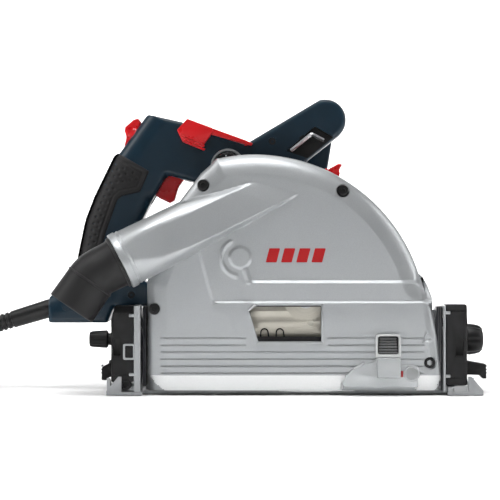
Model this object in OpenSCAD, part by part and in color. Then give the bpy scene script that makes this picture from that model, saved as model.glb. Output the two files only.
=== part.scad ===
// Track plunge saw: a plunging circular saw on a guide-rail base.
// Origin: on the sole plane, in the blade plane, at mid length of the base.
// +X is the cutting direction, +Y the motor side, +Z up. Millimetres.

/* [Base] */
// Length of the base plate along the cut
base_l = 348; // [344:1:356]
// Far edge of the base plate, measured from the blade plane
base_far = 146; // [144:1:156]
// Near edge of the base plate, just clear of the blade
base_near = 2.5; // [2:0.5:4]
// Thickness of the base web
web_t = 3; // [2.5:0.1:3]
// Width of the guide-rail groove in the sole
groove_w = 20; // [18:0.5:21]
// Depth of the guide-rail groove
groove_d = 5; // [4:0.5:5]

/* [Bevel] */
// Radius of the bevel quadrants about the hinge line
quad_r = 83; // [80:1:84]
// Radius of the arc slot for the clamp bolts
slot_r = 67; // [66:0.5:68]
// Clamp bolt angle from +Y at zero bevel
bolt_a = 46.5; // [46:0.5:47]
// Largest bevel angle
bevel_max = 47; // [45:1:47]

/* [Guard] */
// Radius of the guard's main arc
arc_r = 159.6; // [158:0.2:161]
// Near face of the blade cover
cover_near = -18; // [-19:0.5:-18]
// Joint plane between blade cover and guard housing
cover_far = 8; // [7.5:0.5:8]
// Wall of the guard castings
guard_t = 2.5; // [2.2:0.1:2.8]
// Outer radius of the dust tube at its mouth
tube_r = 26.35; // [26:0.05:27]

/* [Blade and drive] */
// Radius of the saw blade
blade_r = 82.5; // [81:0.5:82.5]
// Number of teeth on the blade
blade_teeth = 48; // [36:12:60]
// Radius of the blade's centre hole
blade_bore = 10; // [10:0.5:11]
// Teeth on the spindle gear
gear_n = 38; // [38:1:38]
// Teeth on the motor pinion
pinion_n = 10; // [10:1:10]

/* [Motor unit] */
// Outer radius of the motor housing
motor_r = 39.5; // [38:0.5:40]
// Far end of the motor housing
motor_far = 150; // [148:1:152]
// Near face of the handle
handle_near = 43; // [43:0.5:44]
// Far face of the handle
handle_far = 81; // [80:0.5:82]
// Wall of the handle shells
shell_t = 3.2; // [3:0.1:3.5]

/* [Cord] */
// Diameter of the mains cord
cord_d = 9; // [8:0.5:9]
// Middle radius of the stored coil
coil_r = 54; // [52:1:56]

/* [Hidden] */
$fn = 64;

gap = 0.05;            // running clearance of pins in bores
over = 1;              // how far a cut runs past the face it opens
arc_c = [-36.8, 63];   // centre of the guard's main arc in X and Z
sole_gap = 4;          // height of the guard's lower edge over the sole
pivot = [-108, 40];    // plunge pivot in X and Z
spin_0 = [10, 88];     // spindle at rest in X and Z
gear_module = 1;
gear_y = [21.5, 31.5]; // the gears' near and far faces
centre_d = gear_module*(gear_n + pinion_n)/2;
mesh_a = 115;          // direction from spindle to motor axis
motor_0 = spin_0 + centre_d*[cos(mesh_a), sin(mesh_a)];
swing_r = norm(spin_0 - pivot);
bolt_p = slot_r*[cos(bolt_a), sin(bolt_a)];
front_plate = [137.2, 139.4];   // X faces of the front quadrant
rear_plate = [-148.7, -142.6];  // X faces of the rear quadrant
front_flange = [132, 135];      // X faces of the guard's front flange
rear_flange = [-141.5, -138.5]; // X faces of the guard's rear flange
groove_y = 56;                  // near wall of the rail groove
cam_x = 112;                    // rail cams, either side of mid length
cam_y = groove_y + groove_w + 5;
blade_t = 1.6;
grip_end = [30.7, 258.8];       // centre of the front arm's round end
dial_p = [-62.7, 214.8];        // speed dial in X and Z
screw_x = [-158, 152];          // quadrant screws at the rear and front end
foot_y = -14;                   // near face of the base's end feet
lever_c = [20, 23];             // pins of the bevel levers in Y and Z
guide_x = [85.5, 109.2];        // guides of the splinter guard
pinion_bearing_r = 9.5;
rotor_bearing_r = 11;
nose_bearing_r = 15.5;
spindle_bearing_r = 11.5;
lever_p = [-42, 231];           // pin of the mode lever in X and Z

// Dust tube axis: from its mouth into the guard
mouth = [-161, -19, 123.3];
tube_v = [158, 21, 82];
tube_u = tube_v/norm(tube_v);
tube_len = 172;
elbow_r = 22;
elbow_bend = 26;
elbow_a = 28;
outlet_len = 31;
outlet_bore = 19;

// Places of the four cover screws in X and Z, and of their head seats in Y
cover_screw_p = [[-84.8, 193.9, -13], [44.5, 188.7, -11], [-129.9, 79.5, -12], [124.4, 30, -12]];
// Places of the six lines sunk into the cover's lower wall
groove_z = [for (i = [0:5]) 52.7 - 6.42*i];
window_pts = [[-34.5, 82.8], [24.2, 82.8], [24.2, 49.5], [-33.6, 49.2], [-42.3, 77.9]];

// Torsion spring: its coils around the pivot, then one straight leg
spring_turns = 4.5;
spring_r = 8.8;
spring_y = 45.5;
spring_l = 12;
spring_pts = concat(
    [for (a = [0:22.5:360*spring_turns]) [pivot[0] + spring_r*cos(a),
        spring_y + spring_l*a/(360*spring_turns), pivot[1] + spring_r*sin(a)]],
    [for (z = [5:5:20]) [pivot[0] - spring_r, spring_y + spring_l + 0.02*z, pivot[1] - z]]);

// Places of the screws that join the handle shells, in X and Z
handle_screw_p = [[-218, 80], [-196, 92], [-155, 91], [-88, 92], [-100, 214],
    [-20, 238], [12, 262], [-130, 236]];
// The hex key lies in a pocket of the near shell
key_r = 2.2;
key_y = 42.9;

// The stretch of cord from its sleeve down to the coil
sleeve_p = [-235, 62, 77.8];
sleeve_a = 17;
sleeve_l = 60;
cord_pts = [
    [-292.6, 62, 60.15], [-299, 62, 58.2], [-306, 62.4, 55.9], [-313, 63.6, 53.4], [-319.6, 65.8, 50.8],
    [-325.8, 69, 48.2], [-331.6, 73, 45.6], [-337, 77.6, 43.2], [-342, 82.6, 40.9], [-347, 87.6, 38.8],
    [-352, 92.4, 36.9], [-357.4, 96.8, 35.2], [-363.2, 100.6, 33.8], [-369.4, 103.6, 32.8],
    [-376, 105.6, 32.2]
];
// The stretch from the coil to the plug
tail_pts = [
    [-405.4, -2.9, 4.6], [-399, -5.4, 4.6], [-393, -7.6, 4.7], [-387, -9.6, 5], [-381, -11.2, 5.6],
    [-375, -12.4, 6.4], [-369, -13.2, 7.4], [-363, -13.7, 8.6], [-357, -13.9, 9.6], [-352, -14, 10],
    [-348.05, -14, 10]
];
coil_c = [-380, 60];
coil_h = 27.6;
coil_w = 36.8;
plug_p = [-348, -14, 10];
pin_span = 19;
pin_r = 2.4;

// ---- helpers -------------------------------------------------------------

module box(a, b) translate(a) cube(b - a);

// Extrude an X-Z outline from y0 to y1
module yext(y0, y1) translate([0, y1, 0]) rotate([90, 0, 0]) linear_extrude(y1 - y0) children();

// Extrude a Y-Z outline from x0 to x1
module xext(x0, x1) translate([x0, 0, 0]) rotate([90, 0, 90]) linear_extrude(x1 - x0) children();

// Cylinder along Y at p = [x, z]; r2 is its radius at y0 when it tapers
module ycyl(p, r, y0, y1, r2 = undef)
    translate([p[0], y1, p[1]]) rotate([90, 0, 0])
        cylinder(r1 = r, r2 = is_undef(r2) ? r : r2, h = y1 - y0);

module ytube(p, ro, ri, y0, y1) difference() {
    ycyl(p, ro, y0, y1);
    ycyl(p, ri, y0 - over, y1 + over);
}

// Cylinder along X at p = [y, z]
module xcyl(p, r, x0, x1)
    translate([x0, p[0], p[1]]) rotate([0, 90, 0]) cylinder(r = r, h = x1 - x0);

module zcyl(p, r, z0, z1) translate([p[0], p[1], z0]) cylinder(r = r, h = z1 - z0);

// Turn +Z to the direction v and move to p
module along(p, v)
    translate(p) rotate([0, acos(v[2]/norm(v)), atan2(v[1], v[0])]) children();

// Y-Z ring sector about the hinge line, with round ends
module arc_slot(r, half_w, a0, a1) {
    intersection() {
        difference() {
            circle(r = r + half_w, $fn = 96);
            circle(r = r - half_w, $fn = 96);
        }
        polygon([[0, 0], 3*r*[cos(a0), sin(a0)], 3*r*[cos((a0 + a1)/2), sin((a0 + a1)/2)],
            3*r*[cos(a1), sin(a1)]]);
    }
    for (a = [a0, a1]) translate(r*[cos(a), sin(a)]) circle(r = half_w - 0.05, $fn = 32);
}

// Spread a tube's rings along a list of points
function cross_dir(pts, i) = pts[min(i + 1, len(pts) - 1)] - pts[max(i - 1, 0)];
function ring_at(pts, i, r, n) =
    let (t = cross_dir(pts, i)/norm(cross_dir(pts, i)), s = cross(t, [0, 0, 1])/norm(cross(t, [0, 0, 1])),
        u = cross(s, t))
    [for (k = [0:n - 1]) pts[i] + r*(cos(360*k/n)*s + sin(360*k/n)*u)];

module tube_along(pts, r, n = 10) {
    rings = len(pts);
    points = [for (i = [0:rings - 1]) each ring_at(pts, i, r, n)];
    sides = [for (i = [0:rings - 2], k = [0:n - 1])
        [i*n + k, i*n + (k + 1)%n, (i + 1)*n + (k + 1)%n, (i + 1)*n + k]];
    start = [for (k = [0:n - 1]) n - 1 - k];
    end = [for (k = [0:n - 1]) (rings - 1)*n + k];
    polyhedron(points, concat(sides, [start, end]), convexity = 4);
}

// ---- base ----------------------------------------------------------------

module screw_spots(x) for (y = [14, 44]) translate([x, y, 0]) children();

module base_plate() color("#b9bdc1") difference() {
    half = base_l/2;
    rib_h = 7.4;
    union() {
        box([-half, base_near, 0], [half, base_far, web_t]);
        // end feet that reach past the blade plane
        for (s = [-1, 1]) {
            box([min(s*141, s*half), foot_y, 0], [max(s*141, s*half), base_near + over, web_t]);
            rib_x = s > 0 ? 162 : -173.5;
            xext(rib_x, rib_x + 3) polygon([[foot_y, 0], [foot_y + 30, 0], [foot_y + 30, 6], [foot_y, 16]]);
            yext(foot_y, foot_y + 1.9)
                polygon([[s*160, 0], [s*half, 0], [s*half, 4], [s*163, 17], [s*160, 17]]);
        }
        // raised channel over the rail groove and thick spots for the cams
        box([-half, groove_y - 2.4, 0], [half, groove_y + groove_w + 2.4, rib_h]);
        for (s = [-1, 1]) zcyl([s*cam_x, cam_y], 11, 0, rib_h);
        // ribs
        box([-half, base_far - 4, 0], [half, base_far, rib_h]);
        box([-half, 104, 0], [half, 107, rib_h]);
        box([-140, 22, 0], [-30, 25, 6]);
        box([70, 22, 0], [136, 25, 6]);
        for (x = [-130, -76, 76, 127]) box([x, 24, 0], [x + 3, groove_y, 6]);
        for (x = [-130, -76, -1.5, 76, 127]) box([x, groove_y + groove_w, 0], [x + 3, base_far, 6]);
    }
    // rail groove and the pockets that the cams turn in
    box([-half - over, groove_y, -over], [half + over, groove_y + groove_w, groove_d]);
    for (s = [-1, 1]) {
        zcyl([s*cam_x, cam_y], 7.2, -over, groove_d);
        zcyl([s*cam_x, cam_y], 3 + gap, -over, rib_h + over);
    }
    // relief under the gear case at full depth
    box([-14, base_near - over, 1.9], [56, 52, web_t + over]);
    // seats of the glide strips
    for (y = [8, 88]) box([-half + 8, y, -over], [half - 8, y + 12, 1]);
    // quadrant screws
    for (x = screw_x) screw_spots(x) translate([0, 0, 1.2]) cylinder(r = 2 + gap, h = 20);
}

// A quadrant stands on the base and carries the arc slot about the hinge line
module quadrant(x0, x1, foot_x0, foot_x1, at_x) color("#aeb3b8") difference() {
    union() {
        xext(x0, x1) intersection() {
            circle(r = quad_r, $fn = 128);
            polygon([[-13, web_t], [quad_r + 5, web_t], [quad_r + 5, quad_r + 5], [-13, quad_r + 5]]);
        }
        box([foot_x0, -8, web_t], [foot_x1, 74, 8.6]);
    }
    xext(x0 - over, x1 + over) arc_slot(slot_r, 4.4, 44.8, 94.3);
    // lightening window below the slot
    xext(x0 - over, x1 + over) intersection() {
        circle(r = 52, $fn = 96);
        polygon([[6, 16], [48, 16], [48, 60], [6, 60]]);
    }
    // notch over the raised channel of the base
    box([min(x0, foot_x0) - over, groove_y - 2.5, 0], [max(x1, foot_x1) + over, groove_y + groove_w + 2.5, 7.5]);
    screw_spots(at_x) translate([0, 0, web_t - over]) {
        cylinder(r = 2 + gap, h = 20);
        translate([0, 0, 3.4 + over]) cylinder(r = 4, h = 20);
    }
}

module front_quadrant() quadrant(front_plate[0], front_plate[1], front_plate[1] - 0.1, 160, screw_x[1]);
module rear_quadrant() quadrant(rear_plate[0], rear_plate[1], -168, rear_plate[0] + 0.1, screw_x[0]);

// A scale cover closes the outer face of a quadrant, and its slot clears the clamp bolt
module scale_cover(x0, x1, lever_x, top_r, low_z) color("#1c1d20") difference() {
    xext(x0, x1) intersection() {
        circle(r = top_r, $fn = 128);
        polygon([[-12, low_z], [72, low_z], [72, 60], [60, 90], [-6, 90], [-12, 78]]);
    }
    xext(x0 - over, x1 + over) arc_slot(slot_r, 6, 44.6, 94.4);
    // hollow behind the face
    cut0 = x1 > 0 ? x0 - over : x0 + 3;
    cut1 = x1 > 0 ? x1 - 3 : x1 + over;
    xext(cut0, cut1) intersection() {
        circle(r = 56, $fn = 96);
        polygon([[30, low_z + 3], [60, low_z + 3], [60, 40], [30, 52]]);
    }
    xcyl(lever_c, 3 + gap, lever_x[0], lever_x[1]);
}

module front_scale_cover() scale_cover(front_plate[1], 159.5, [147, 161], quad_r + 1, 9);
module rear_scale_cover() scale_cover(-170, rear_plate[0], [-171, -157], quad_r - 0.3, 12);

module glide_strips() color("#2b2c2f")
    for (y = [8, 88]) box([-base_l/2 + 8.1, y + 0.1, 0], [base_l/2 - 8.1, y + 11.9, 1]);

module quadrant_screws() color("#3a3b3e")
    for (x = screw_x) screw_spots(x) difference() {
        union() {
            translate([0, 0, 1.3]) cylinder(r = 2, h = 5.4);
            translate([0, 0, web_t + 3.5]) cylinder(r = 3.8, h = 2);
        }
        translate([0, 0, 7]) cylinder(r = 1.5, h = 5, $fn = 6);
    }

// Clear tongue at the front end that shows where the cut runs
module cut_indicator() color("#c9ccd0") yext(-13.9, -9) difference() {
    polygon([[141.5, web_t], [159.5, web_t], [159.5, 8.8], [150, 8.8], [141.5, 7]]);
    translate([146.5, 5.4]) circle(r = 1.2, $fn = 16);
}

// Levers that release the bevel past its end stops
module bevel_lever(s) color("#232427") {
    x = s > 0 ? [159.7, 163.7, 178, 149] : [-177.7, -173.7, -170.2, -160];
    hub = s > 0 ? [x[0], x[1]] : [x[1], x[2]];
    pin = s > 0 ? [x[3], x[0] + over] : [x[2] - over, x[3]];
    xcyl(lever_c, 7.4, hub[0], hub[1]);
    xcyl(lever_c, 3, pin[0], pin[1]);
    if (s > 0) {
        yext(13, 27) polygon([[162, 18], [176, 17], [177, 15.4], [178, 16], [178, 28], [174, 30], [162, 29]]);
    } else {
        yext(13, 27) polygon([[-172, 17], [-176, 14.4], [-177.7, 15], [-177.7, 27], [-175, 29], [-172, 29.4]]);
    }
}

module front_bevel_lever() bevel_lever(1);
module rear_bevel_lever() bevel_lever(-1);

// Eccentric cam that takes up the play on the guide rail
module rail_cam(x) color("#26272a") {
    difference() {
        zcyl([x, cam_y], 10, 7.6, 14);
        for (a = [0:30:330]) translate([x, cam_y, 9.5]) rotate([0, 0, a]) translate([10.6, 0, 0])
            cylinder(r = 1.4, h = 6, $fn = 16);
    }
    zcyl([x, cam_y], 3, 1, 7.7);
    zcyl([x, cam_y - 0.9], 5, 1, groove_d - 0.2);
}

module front_rail_cam() rail_cam(cam_x);
module rear_rail_cam() rail_cam(-cam_x);

// ---- guard ---------------------------------------------------------------

// Side outline of the guard in X and Z
module guard_shape() intersection() {
    union() {
        translate(arc_c) circle(r = arc_r, $fn = 180);
        polygon([[60, sole_gap], [136.4, sole_gap], [136.4, 8], [131.6, 54], [126.7, 77], [124, 86.4],
            [126.7, 90], [122.5, 102], [120, 107.7], [60, 107.7]]);
    }
    polygon([[-137, sole_gap], [-137, 104], [-106, 180], [-87, 205], [-78, 213], [-70, 222], [-60, 260],
        [150, 260], [150, sole_gap]]);
}

// What the spindle nose sweeps as the saw plunges
module nose_slot() intersection() {
    translate(pivot) difference() {
        circle(r = swing_r + 20.5, $fn = 160);
        circle(r = swing_r - 20.5, $fn = 160);
    }
    translate(pivot) polygon([[0, 0], 300*[cos(-30), sin(-30)], [300, 0], 300*[cos(31.8), sin(31.8)]]);
}

// The ear that joins the guard to a quadrant and holds its clamp bolt
module guard_ear(x0, x1, join_x0, join_x1) {
    xext(x0, x1) intersection() {
        circle(r = quad_r - 1, $fn = 128);
        polygon([[cover_far, 9], [30, 12], [72, 24], [72, 70], [20, 84], [cover_far, 84]]);
    }
    box([join_x0, cover_far, 9], [join_x1, 16, 78]);
}

module guard_housing() color("#8f959b") difference() {
    union() {
        yext(cover_far, 13.5) difference() {
            guard_shape();
            offset(delta = -guard_t) guard_shape();
        }
        yext(13.5, 16) difference() {
            guard_shape();
            nose_slot();
        }
        ycyl(pivot, 15, cover_far, 17.7);
        guard_ear(front_flange[0], front_flange[1], 118, front_flange[1]);
        guard_ear(rear_flange[0], rear_flange[1], rear_flange[0], -128);
        for (p = cover_screw_p) ycyl(p, 6.5, cover_far, 14);
    }
    ycyl(pivot, 6 + gap, 10, 20);
    for (p = cover_screw_p) ycyl(p, 2.5 + gap, cover_far - over, 13);
    for (x = [front_flange, rear_flange]) xcyl(bolt_p, 4 + gap, x[0] - over, x[1] + over);
    // room for the blade to drop past the lower edge
    box([-100, cover_far - over, 0], [115, 13.5, 9]);
}

// Outer form of the cover: a domed edge along the arc, a flat block at the lower front
module cover_outer() difference() {
    union() {
        intersection() {
            yext(cover_near, cover_far) guard_shape();
            union() {
                ycyl(arc_c, arc_r, cover_near, -4, arc_r - 15);
                ycyl(arc_c, arc_r + over, -4.01, cover_far);
                box([60, cover_near, 0], [150, cover_far, 107.7]);
            }
        }
        // raised band above the lower wall
        yext(cover_near - 2, cover_near + over) polygon([[-37, 87], [122, 87], [124.4, 91], [120.6, 102],
            [118, 106], [-37, 106], [-40, 98]]);
    }
    // the lower wall steps back, and its foot slopes in under the saw
    box([-200, cover_near - 10, -over], [200, cover_near + 2, 86.4]);
    xext(-200, 200) polygon([[-60, -over], [-8.4, -over], [-8.4, sole_gap], [-16, 19], [-60, 60]]);
}

module cover_cavity() difference() {
    yext(cover_near + guard_t, cover_far + over) offset(delta = -guard_t) guard_shape();
    // the inner face follows the domed edge, the step and the slope
    difference() {
        box([-250, cover_near, 86], [200, -2, 260]);
        ycyl(arc_c, arc_r - 3, cover_near - over, -2, arc_r - 20);
        box([60, cover_near - over, 0], [150, cover_far, 105]);
    }
    box([-200, cover_near, 0], [200, cover_near + 2 + guard_t, 89]);
    xext(-200, 200) polygon([[-30, -over], [-6, -over], [-6, sole_gap], [-13.4, 20.4], [-30, 20.4]]);
    for (p = cover_screw_p) ycyl(p, 8, cover_near, cover_far + 2);
}

// Dust tube, round at its mouth and sinking into the cover
module tube_outer() intersection() {
    union() {
        along(mouth, tube_v) cylinder(r = tube_r - 1.15, h = 16);
        along(mouth + 14*tube_u, tube_v) cylinder(r1 = tube_r, r2 = 20.5, h = tube_len - 14);
    }
    union() {
        box([-200, -60, 60], [-106, cover_far, 240]);
        yext(-60, cover_far) guard_shape();
    }
}

module tube_inner() intersection() {
    union() {
        along(mouth - over*tube_u, tube_v) cylinder(r = elbow_r + 0.06, h = 13 + over);
        along(mouth + 12*tube_u, tube_v) cylinder(r1 = 23, r2 = 18, h = tube_len - 40);
    }
    box([-260, -70, 0], [60, cover_far - guard_t, 300]);
}

module blade_cover() color("#c3c7cb") difference() {
    union() {
        cover_outer();
        tube_outer();
    }
    cover_cavity();
    tube_inner();
    yext(-40, -8) polygon(window_pts);
    for (i = [0:5]) {
        cuts = i < 2 ? [[-123, -46], [31, 118]] : [[-123, 118]];
        for (c = cuts) box([c[0], -18, groove_z[i] - 0.45], [c[1], -15.2, groove_z[i] + 0.45]);
    }
    for (p = cover_screw_p) {
        ycyl(p, 5.7, -40, p[2]);
        ycyl(p, 2.5 + gap, -40, cover_far + over);
    }
    // guides for the splinter guard and room for the blade
    for (x = guide_x) box([x - 2.1, -20, 10], [x + 2.1, -8, 34]);
    box([-100, -5.6, 0], [115, cover_far + over, 9]);
}

module cover_screws() color("#17181a") for (p = cover_screw_p) difference() {
    union() {
        ycyl(p, 5.3, p[2] - 3.6, p[2]);
        ycyl(p, 2.5, p[2] - 0.1, 12.8);
    }
    translate([p[0], p[2] - 1.4, p[1]]) rotate([90, 0, 0]) cylinder(r = 2.6, h = 4, $fn = 6);
}

module depth_scale() color("#d7d9dc") yext(16.1, 18.5) translate(arc_c) intersection() {
    difference() {
        circle(r = 157, $fn = 180);
        circle(r = 146, $fn = 180);
    }
    polygon([[0, 0], 300*[cos(38), sin(38)], 300*[cos(70), sin(70)], 300*[cos(100), sin(100)]]);
}

module pivot_pin() color("#9aa0a6") {
    ycyl(pivot, 6, 10.1, 62);
    ycyl(pivot, 10, 60, 63);
}

// Lifts the saw back to its rest
module return_spring() color("#6e7378") tube_along(spring_pts, 1.15, 8);

module clamp_bolt(x0, x1, head0, head1) color("#8b9096") {
    xcyl(bolt_p, 4, x0, x1);
    xcyl(bolt_p, 7, head0, head1);
}

module front_clamp_bolt() clamp_bolt(128, 176, 127.6, front_flange[0]);
module rear_clamp_bolt() clamp_bolt(-190, -134, rear_flange[1], -134.1);

// Collar on the mouth of the dust tube
module port_ring() color("#b4b8bc") along(mouth, tube_v) difference() {
    union() {
        cylinder(r = tube_r, h = 13.8);
        translate([0, 0, 1]) cylinder(r = tube_r + 0.9, h = 5);
    }
    translate([0, 0, -over]) cylinder(r = tube_r - 1.15 + gap, h = 30);
}

module front_bevel_knob() color("#1b1c1e") difference() {
    union() {
        xcyl(bolt_p, 8, 159.8, 163.6);
        translate([162.3, bolt_p[0], bolt_p[1]]) rotate([0, 90, 0])
            cylinder(r1 = 13, r2 = 14.75, h = 4);
        xcyl(bolt_p, 14.75, 166.2, 180.3);
    }
    xcyl(bolt_p, 4 + gap, 159, 176.5);
    for (a = [0:45:315]) translate([164, bolt_p[0], bolt_p[1]]) rotate([a, 0, 0]) translate([0, 17.6, 0])
        rotate([0, 90, 0]) cylinder(r = 4.6, h = 18, $fn = 24);
}

module rear_bevel_knob() color("#1b1c1e") difference() {
    union() {
        xcyl(bolt_p, 6, -176.8, -170.4);
        translate([-193, bolt_p[0], bolt_p[1]]) rotate([0, 90, 0]) cylinder(r1 = 6.6, r2 = 8, h = 16.4);
    }
    xcyl(bolt_p, 4 + gap, -190.5, -170);
    for (a = [0:60:300]) translate([-194, bolt_p[0], bolt_p[1]]) rotate([a, 0, 0]) translate([0, 9.9, 0])
        rotate([0, 90, 0]) cylinder(r = 2.8, h = 20, $fn = 32);
}

// Clear guard that presses on the work beside the blade; slides up and down
module splinter_guard() color("#dfe3e6", 0.5) {
    yext(-18.4, -16.2) polygon([[43, 12], [50, 22], [60, 28], [72, 31], [76, 35], [97, 35], [98, 28],
        [113, 28], [113, 7.8], [47, 7.8]]);
    yext(-23, -18.4) polygon([[75, 16], [97, 16], [97, 35], [75, 35]]);
    for (x = guide_x) ycyl([x, 21.3], 2, -17, -11.4);
    ycyl([guide_x[1], 21.3], 6.5, -20.4, -18.3);
}

module splinter_pad() color("#33363a") difference() {
    yext(-22.5, -16.3) polygon([[73.6, 35.2], [97.3, 35.2], [97.3, 55], [95, 57], [76, 57], [73.6, 55]]);
    for (z = [38.5:3.2:54.5]) box([75, -24, z], [96, -21.6, z + 1.4]);
}

// Red marker that is set along the depth scale
module depth_stop() color("#c8262b") {
    yext(18.7, 24) translate(arc_c) intersection() {
        difference() {
            circle(r = 163, $fn = 180);
            circle(r = 147, $fn = 180);
        }
        polygon([[0, 0], 300*[cos(60.5), sin(60.5)], 300*[cos(66), sin(66)]]);
    }
    yext(17.2, 24) translate(arc_c) intersection() {
        difference() {
            circle(r = 167, $fn = 180);
            circle(r = 160.8, $fn = 180);
        }
        polygon([[0, 0], 300*[cos(61.4), sin(61.4)], 300*[cos(64), sin(64)]]);
    }
}

// The elbow's bend, run 1 degree into the straight parts at both ends
module elbow_bend_part(r, start) translate([-elbow_bend, 0, start]) rotate([90, 0, 0]) rotate([0, 0, -1])
    rotate_extrude(angle = elbow_a + 2, $fn = 96) translate([elbow_bend, 0]) circle(r = r, $fn = 64);

module elbow_outlet_place(start)
    translate([-elbow_bend, 0, start]) rotate([0, -elbow_a, 0]) translate([elbow_bend, 0, 0]) children();

// Elbow that swivels in the tube's mouth and takes the hose
module dust_elbow() color("#18191b") along(mouth, -tube_v) rotate([0, 0, 180]) difference() {
    straight = 19.5;
    union() {
        translate([0, 0, -12]) cylinder(r = elbow_r, h = straight + 12);
        translate([0, 0, 0.4]) cylinder(r = elbow_r + 2.6, h = 3);
        elbow_bend_part(elbow_r - 0.15, straight);
        elbow_outlet_place(straight) {
            cylinder(r = elbow_r + 0.6, h = outlet_len);
            translate([0, 0, outlet_len - 4]) cylinder(r = elbow_r + 1.25, h = 4);
        }
    }
    translate([0, 0, -12 - over]) cylinder(r = outlet_bore, h = straight + 12 + over);
    elbow_bend_part(outlet_bore - 0.15, straight);
    elbow_outlet_place(straight) cylinder(r = outlet_bore, h = outlet_len + over);
}

// ---- motor unit ----------------------------------------------------------

module gear_case_shape() {
    hull() {
        translate(spin_0) circle(r = 22.3);
        translate(motor_0) circle(r = 24);
    }
    hull() {
        translate(pivot) circle(r = 13.5);
        translate([-20, 98]) circle(r = 17);
    }
}

module gear_case() color("#33363b") difference() {
    union() {
        yext(18, 33) gear_case_shape();
        yext(32.9, 42.4) hull() {
            translate(pivot) circle(r = 13.5);
            translate([-84, 57]) circle(r = 12);
        }
        ycyl(spin_0, 18.5, 6.6, 18.1);
    }
    // gear room, open to the gear cover
    ycyl(spin_0, 20.6, 19.5, 33 + over);
    ycyl(motor_0, 8, 19.5, 33 + over);
    yext(19.5, 33 + over) translate(spin_0) rotate(mesh_a) square([40, 12], center = true);
    ycyl(spin_0, nose_bearing_r + gap, 9, 18);
    ycyl(spin_0, 12, 6, 20);
    ycyl(pivot, 6 + gap, 17, 44);
}

module gear_cover() color("#3b3e43") difference() {
    yext(33.1, 42.4) {
        translate(spin_0) circle(r = 22.3);
        translate(motor_0) circle(r = motor_r);
    }
    ycyl(spin_0, spindle_bearing_r + gap, 34.6, 41.1);
    ycyl(spin_0, 9.5, 33 - over, 35);
    ycyl(motor_0, pinion_bearing_r + gap, 35.1, 40);
    ycyl(motor_0, 6, 33 - over, 43);
}

module motor_housing() color("#1f3542") difference() {
    union() {
        ycyl(motor_0, motor_r, 42.5, motor_far);
        ycyl(motor_0, motor_r + 1.2, motor_far - 6, motor_far);
    }
    ycyl(motor_0, motor_r - 3, 42.5 - over, motor_far + over);
    // air slots around the fan
    for (a = [200:12:340]) translate([motor_0[0], 46, motor_0[1]]) rotate([0, -a, 0])
        translate([30, 0, -1.4]) cube([15, 9, 2.8]);
}

module motor_end_cap() color("#1b1c1f") difference() {
    union() {
        ycyl(motor_0, motor_r - 4.5, motor_far + 0.1, 165, motor_r + 1.2);
        ycyl(motor_0, 14, 139.5, 152);
    }
    ycyl(motor_0, rotor_bearing_r + gap, 139, 147.1);
    for (i = [-4:4]) translate([motor_0[0] - 20, 160, motor_0[1] + 7*i - 1.2]) cube([40, 8, 2.4]);
}

// Side outline of the rear handle, the front arm and the tail
module handle_shape() difference() {
    union() {
        polygon([[-235, 64], [-235, 90], [-214, 98], [-207, 112], [-205.5, 130], [-198.7, 162.3],
            [-190, 184.7], [-171, 223.6], [-167, 227.8], [-140.6, 264.6], [-107.7, 257.2], [-45.3, 236],
            [25.4, 277.9], [41.2, 241.5], [13.8, 220], [8, 200], [24, 148], [24, 130], [-38, 92],
            [-60, 84], [-138, 80], [-172, 79], [-178, 64]]);
        translate(grip_end) circle(r = 20.1, $fn = 64);
    }
    polygon([[-121, 206], [-92, 198], [-74, 180], [-66, 150], [-66, 118], [-86, 103], [-138, 101],
        [-151, 112], [-152, 135], [-146, 160], [-136, 180]]);
}

// Where the trigger, the lock button and their travel need room
module trigger_room() {
    yext(53.4, 70.6) polygon([[-150, 180], [-134, 178], [-118, 174], [-98, 200], [-100, 214], [-121, 216],
        [-148, 206]]);
}

module lock_axis(y) translate([-154, y, 246.5]) rotate([0, -54.4, 0]) children();

module handle_half(y0, y1, inner0, inner1) difference() {
    yext(y0, y1) offset(r = 3) offset(delta = -3) handle_shape();
    yext(inner0, inner1) offset(delta = -shell_t) handle_shape();
    ycyl(motor_0, motor_r + 0.4, 42, 100);
    trigger_room();
    lock_axis(62) translate([0, 0, -16]) cylinder(r = 9.2 + gap, h = 40);
}

module handle_near_shell() color("#143a4c") difference() {
    handle_half(handle_near, 62, handle_near + shell_t, 62 + over);
    // pocket for the hex key, pin of the mode lever, shaft of the dial
    yext(42, handle_near + 2.4) polygon([[20.6, 252.6], [38.8, 242.3], [13.8, 221.8], [-7, 228.6]]);
    ycyl(lever_p, 3 + gap, 42, 52);
    ycyl(dial_p, 4 + gap, 42, 52);
}

module handle_far_shell() color("#143a4c") handle_half(62.02, handle_far, 61, handle_far - shell_t);

// Soft overmould around the rear grip
module handle_grip() color("#17181a") difference() {
    yext(handle_near - 1.4, handle_far + 1.4) intersection() {
        offset(delta = 1.4) handle_shape();
        polygon([[-216, 112], [-190, 112], [-187, 130], [-178, 166], [-166, 196], [-154, 197], [-142, 219],
            [-169, 233], [-216, 200]]);
    }
    yext(handle_near - 0.02, handle_far + 0.02) offset(delta = 0.02) handle_shape();
    trigger_room();
}

// Front handle: a cross bar from the arm's end, held by a strut on the motor
module front_grip() color("#143a4c") difference() {
    union() {
        ycyl(grip_end, 17, handle_far + 0.1, 128);
        ycyl(grip_end, 17, 127.9, 136, 12);
        yext(118, 134) polygon([[16, 262], [44, 262], [34, 200], [28, 140], [-8, 140], [10, 200]]);
    }
    ycyl(motor_0, motor_r + 0.05, 100, 140);
    ycyl(grip_end, 13, handle_far, 116);
}

module stator() color("#6d6f73") {
    ytube(motor_0, motor_r - 3.1, 26.6, 64, 106);
    for (y = [[58, 64.1], [105.9, 111]]) ytube(motor_0, 34.5, 28, y[0], y[1]);
}

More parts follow.
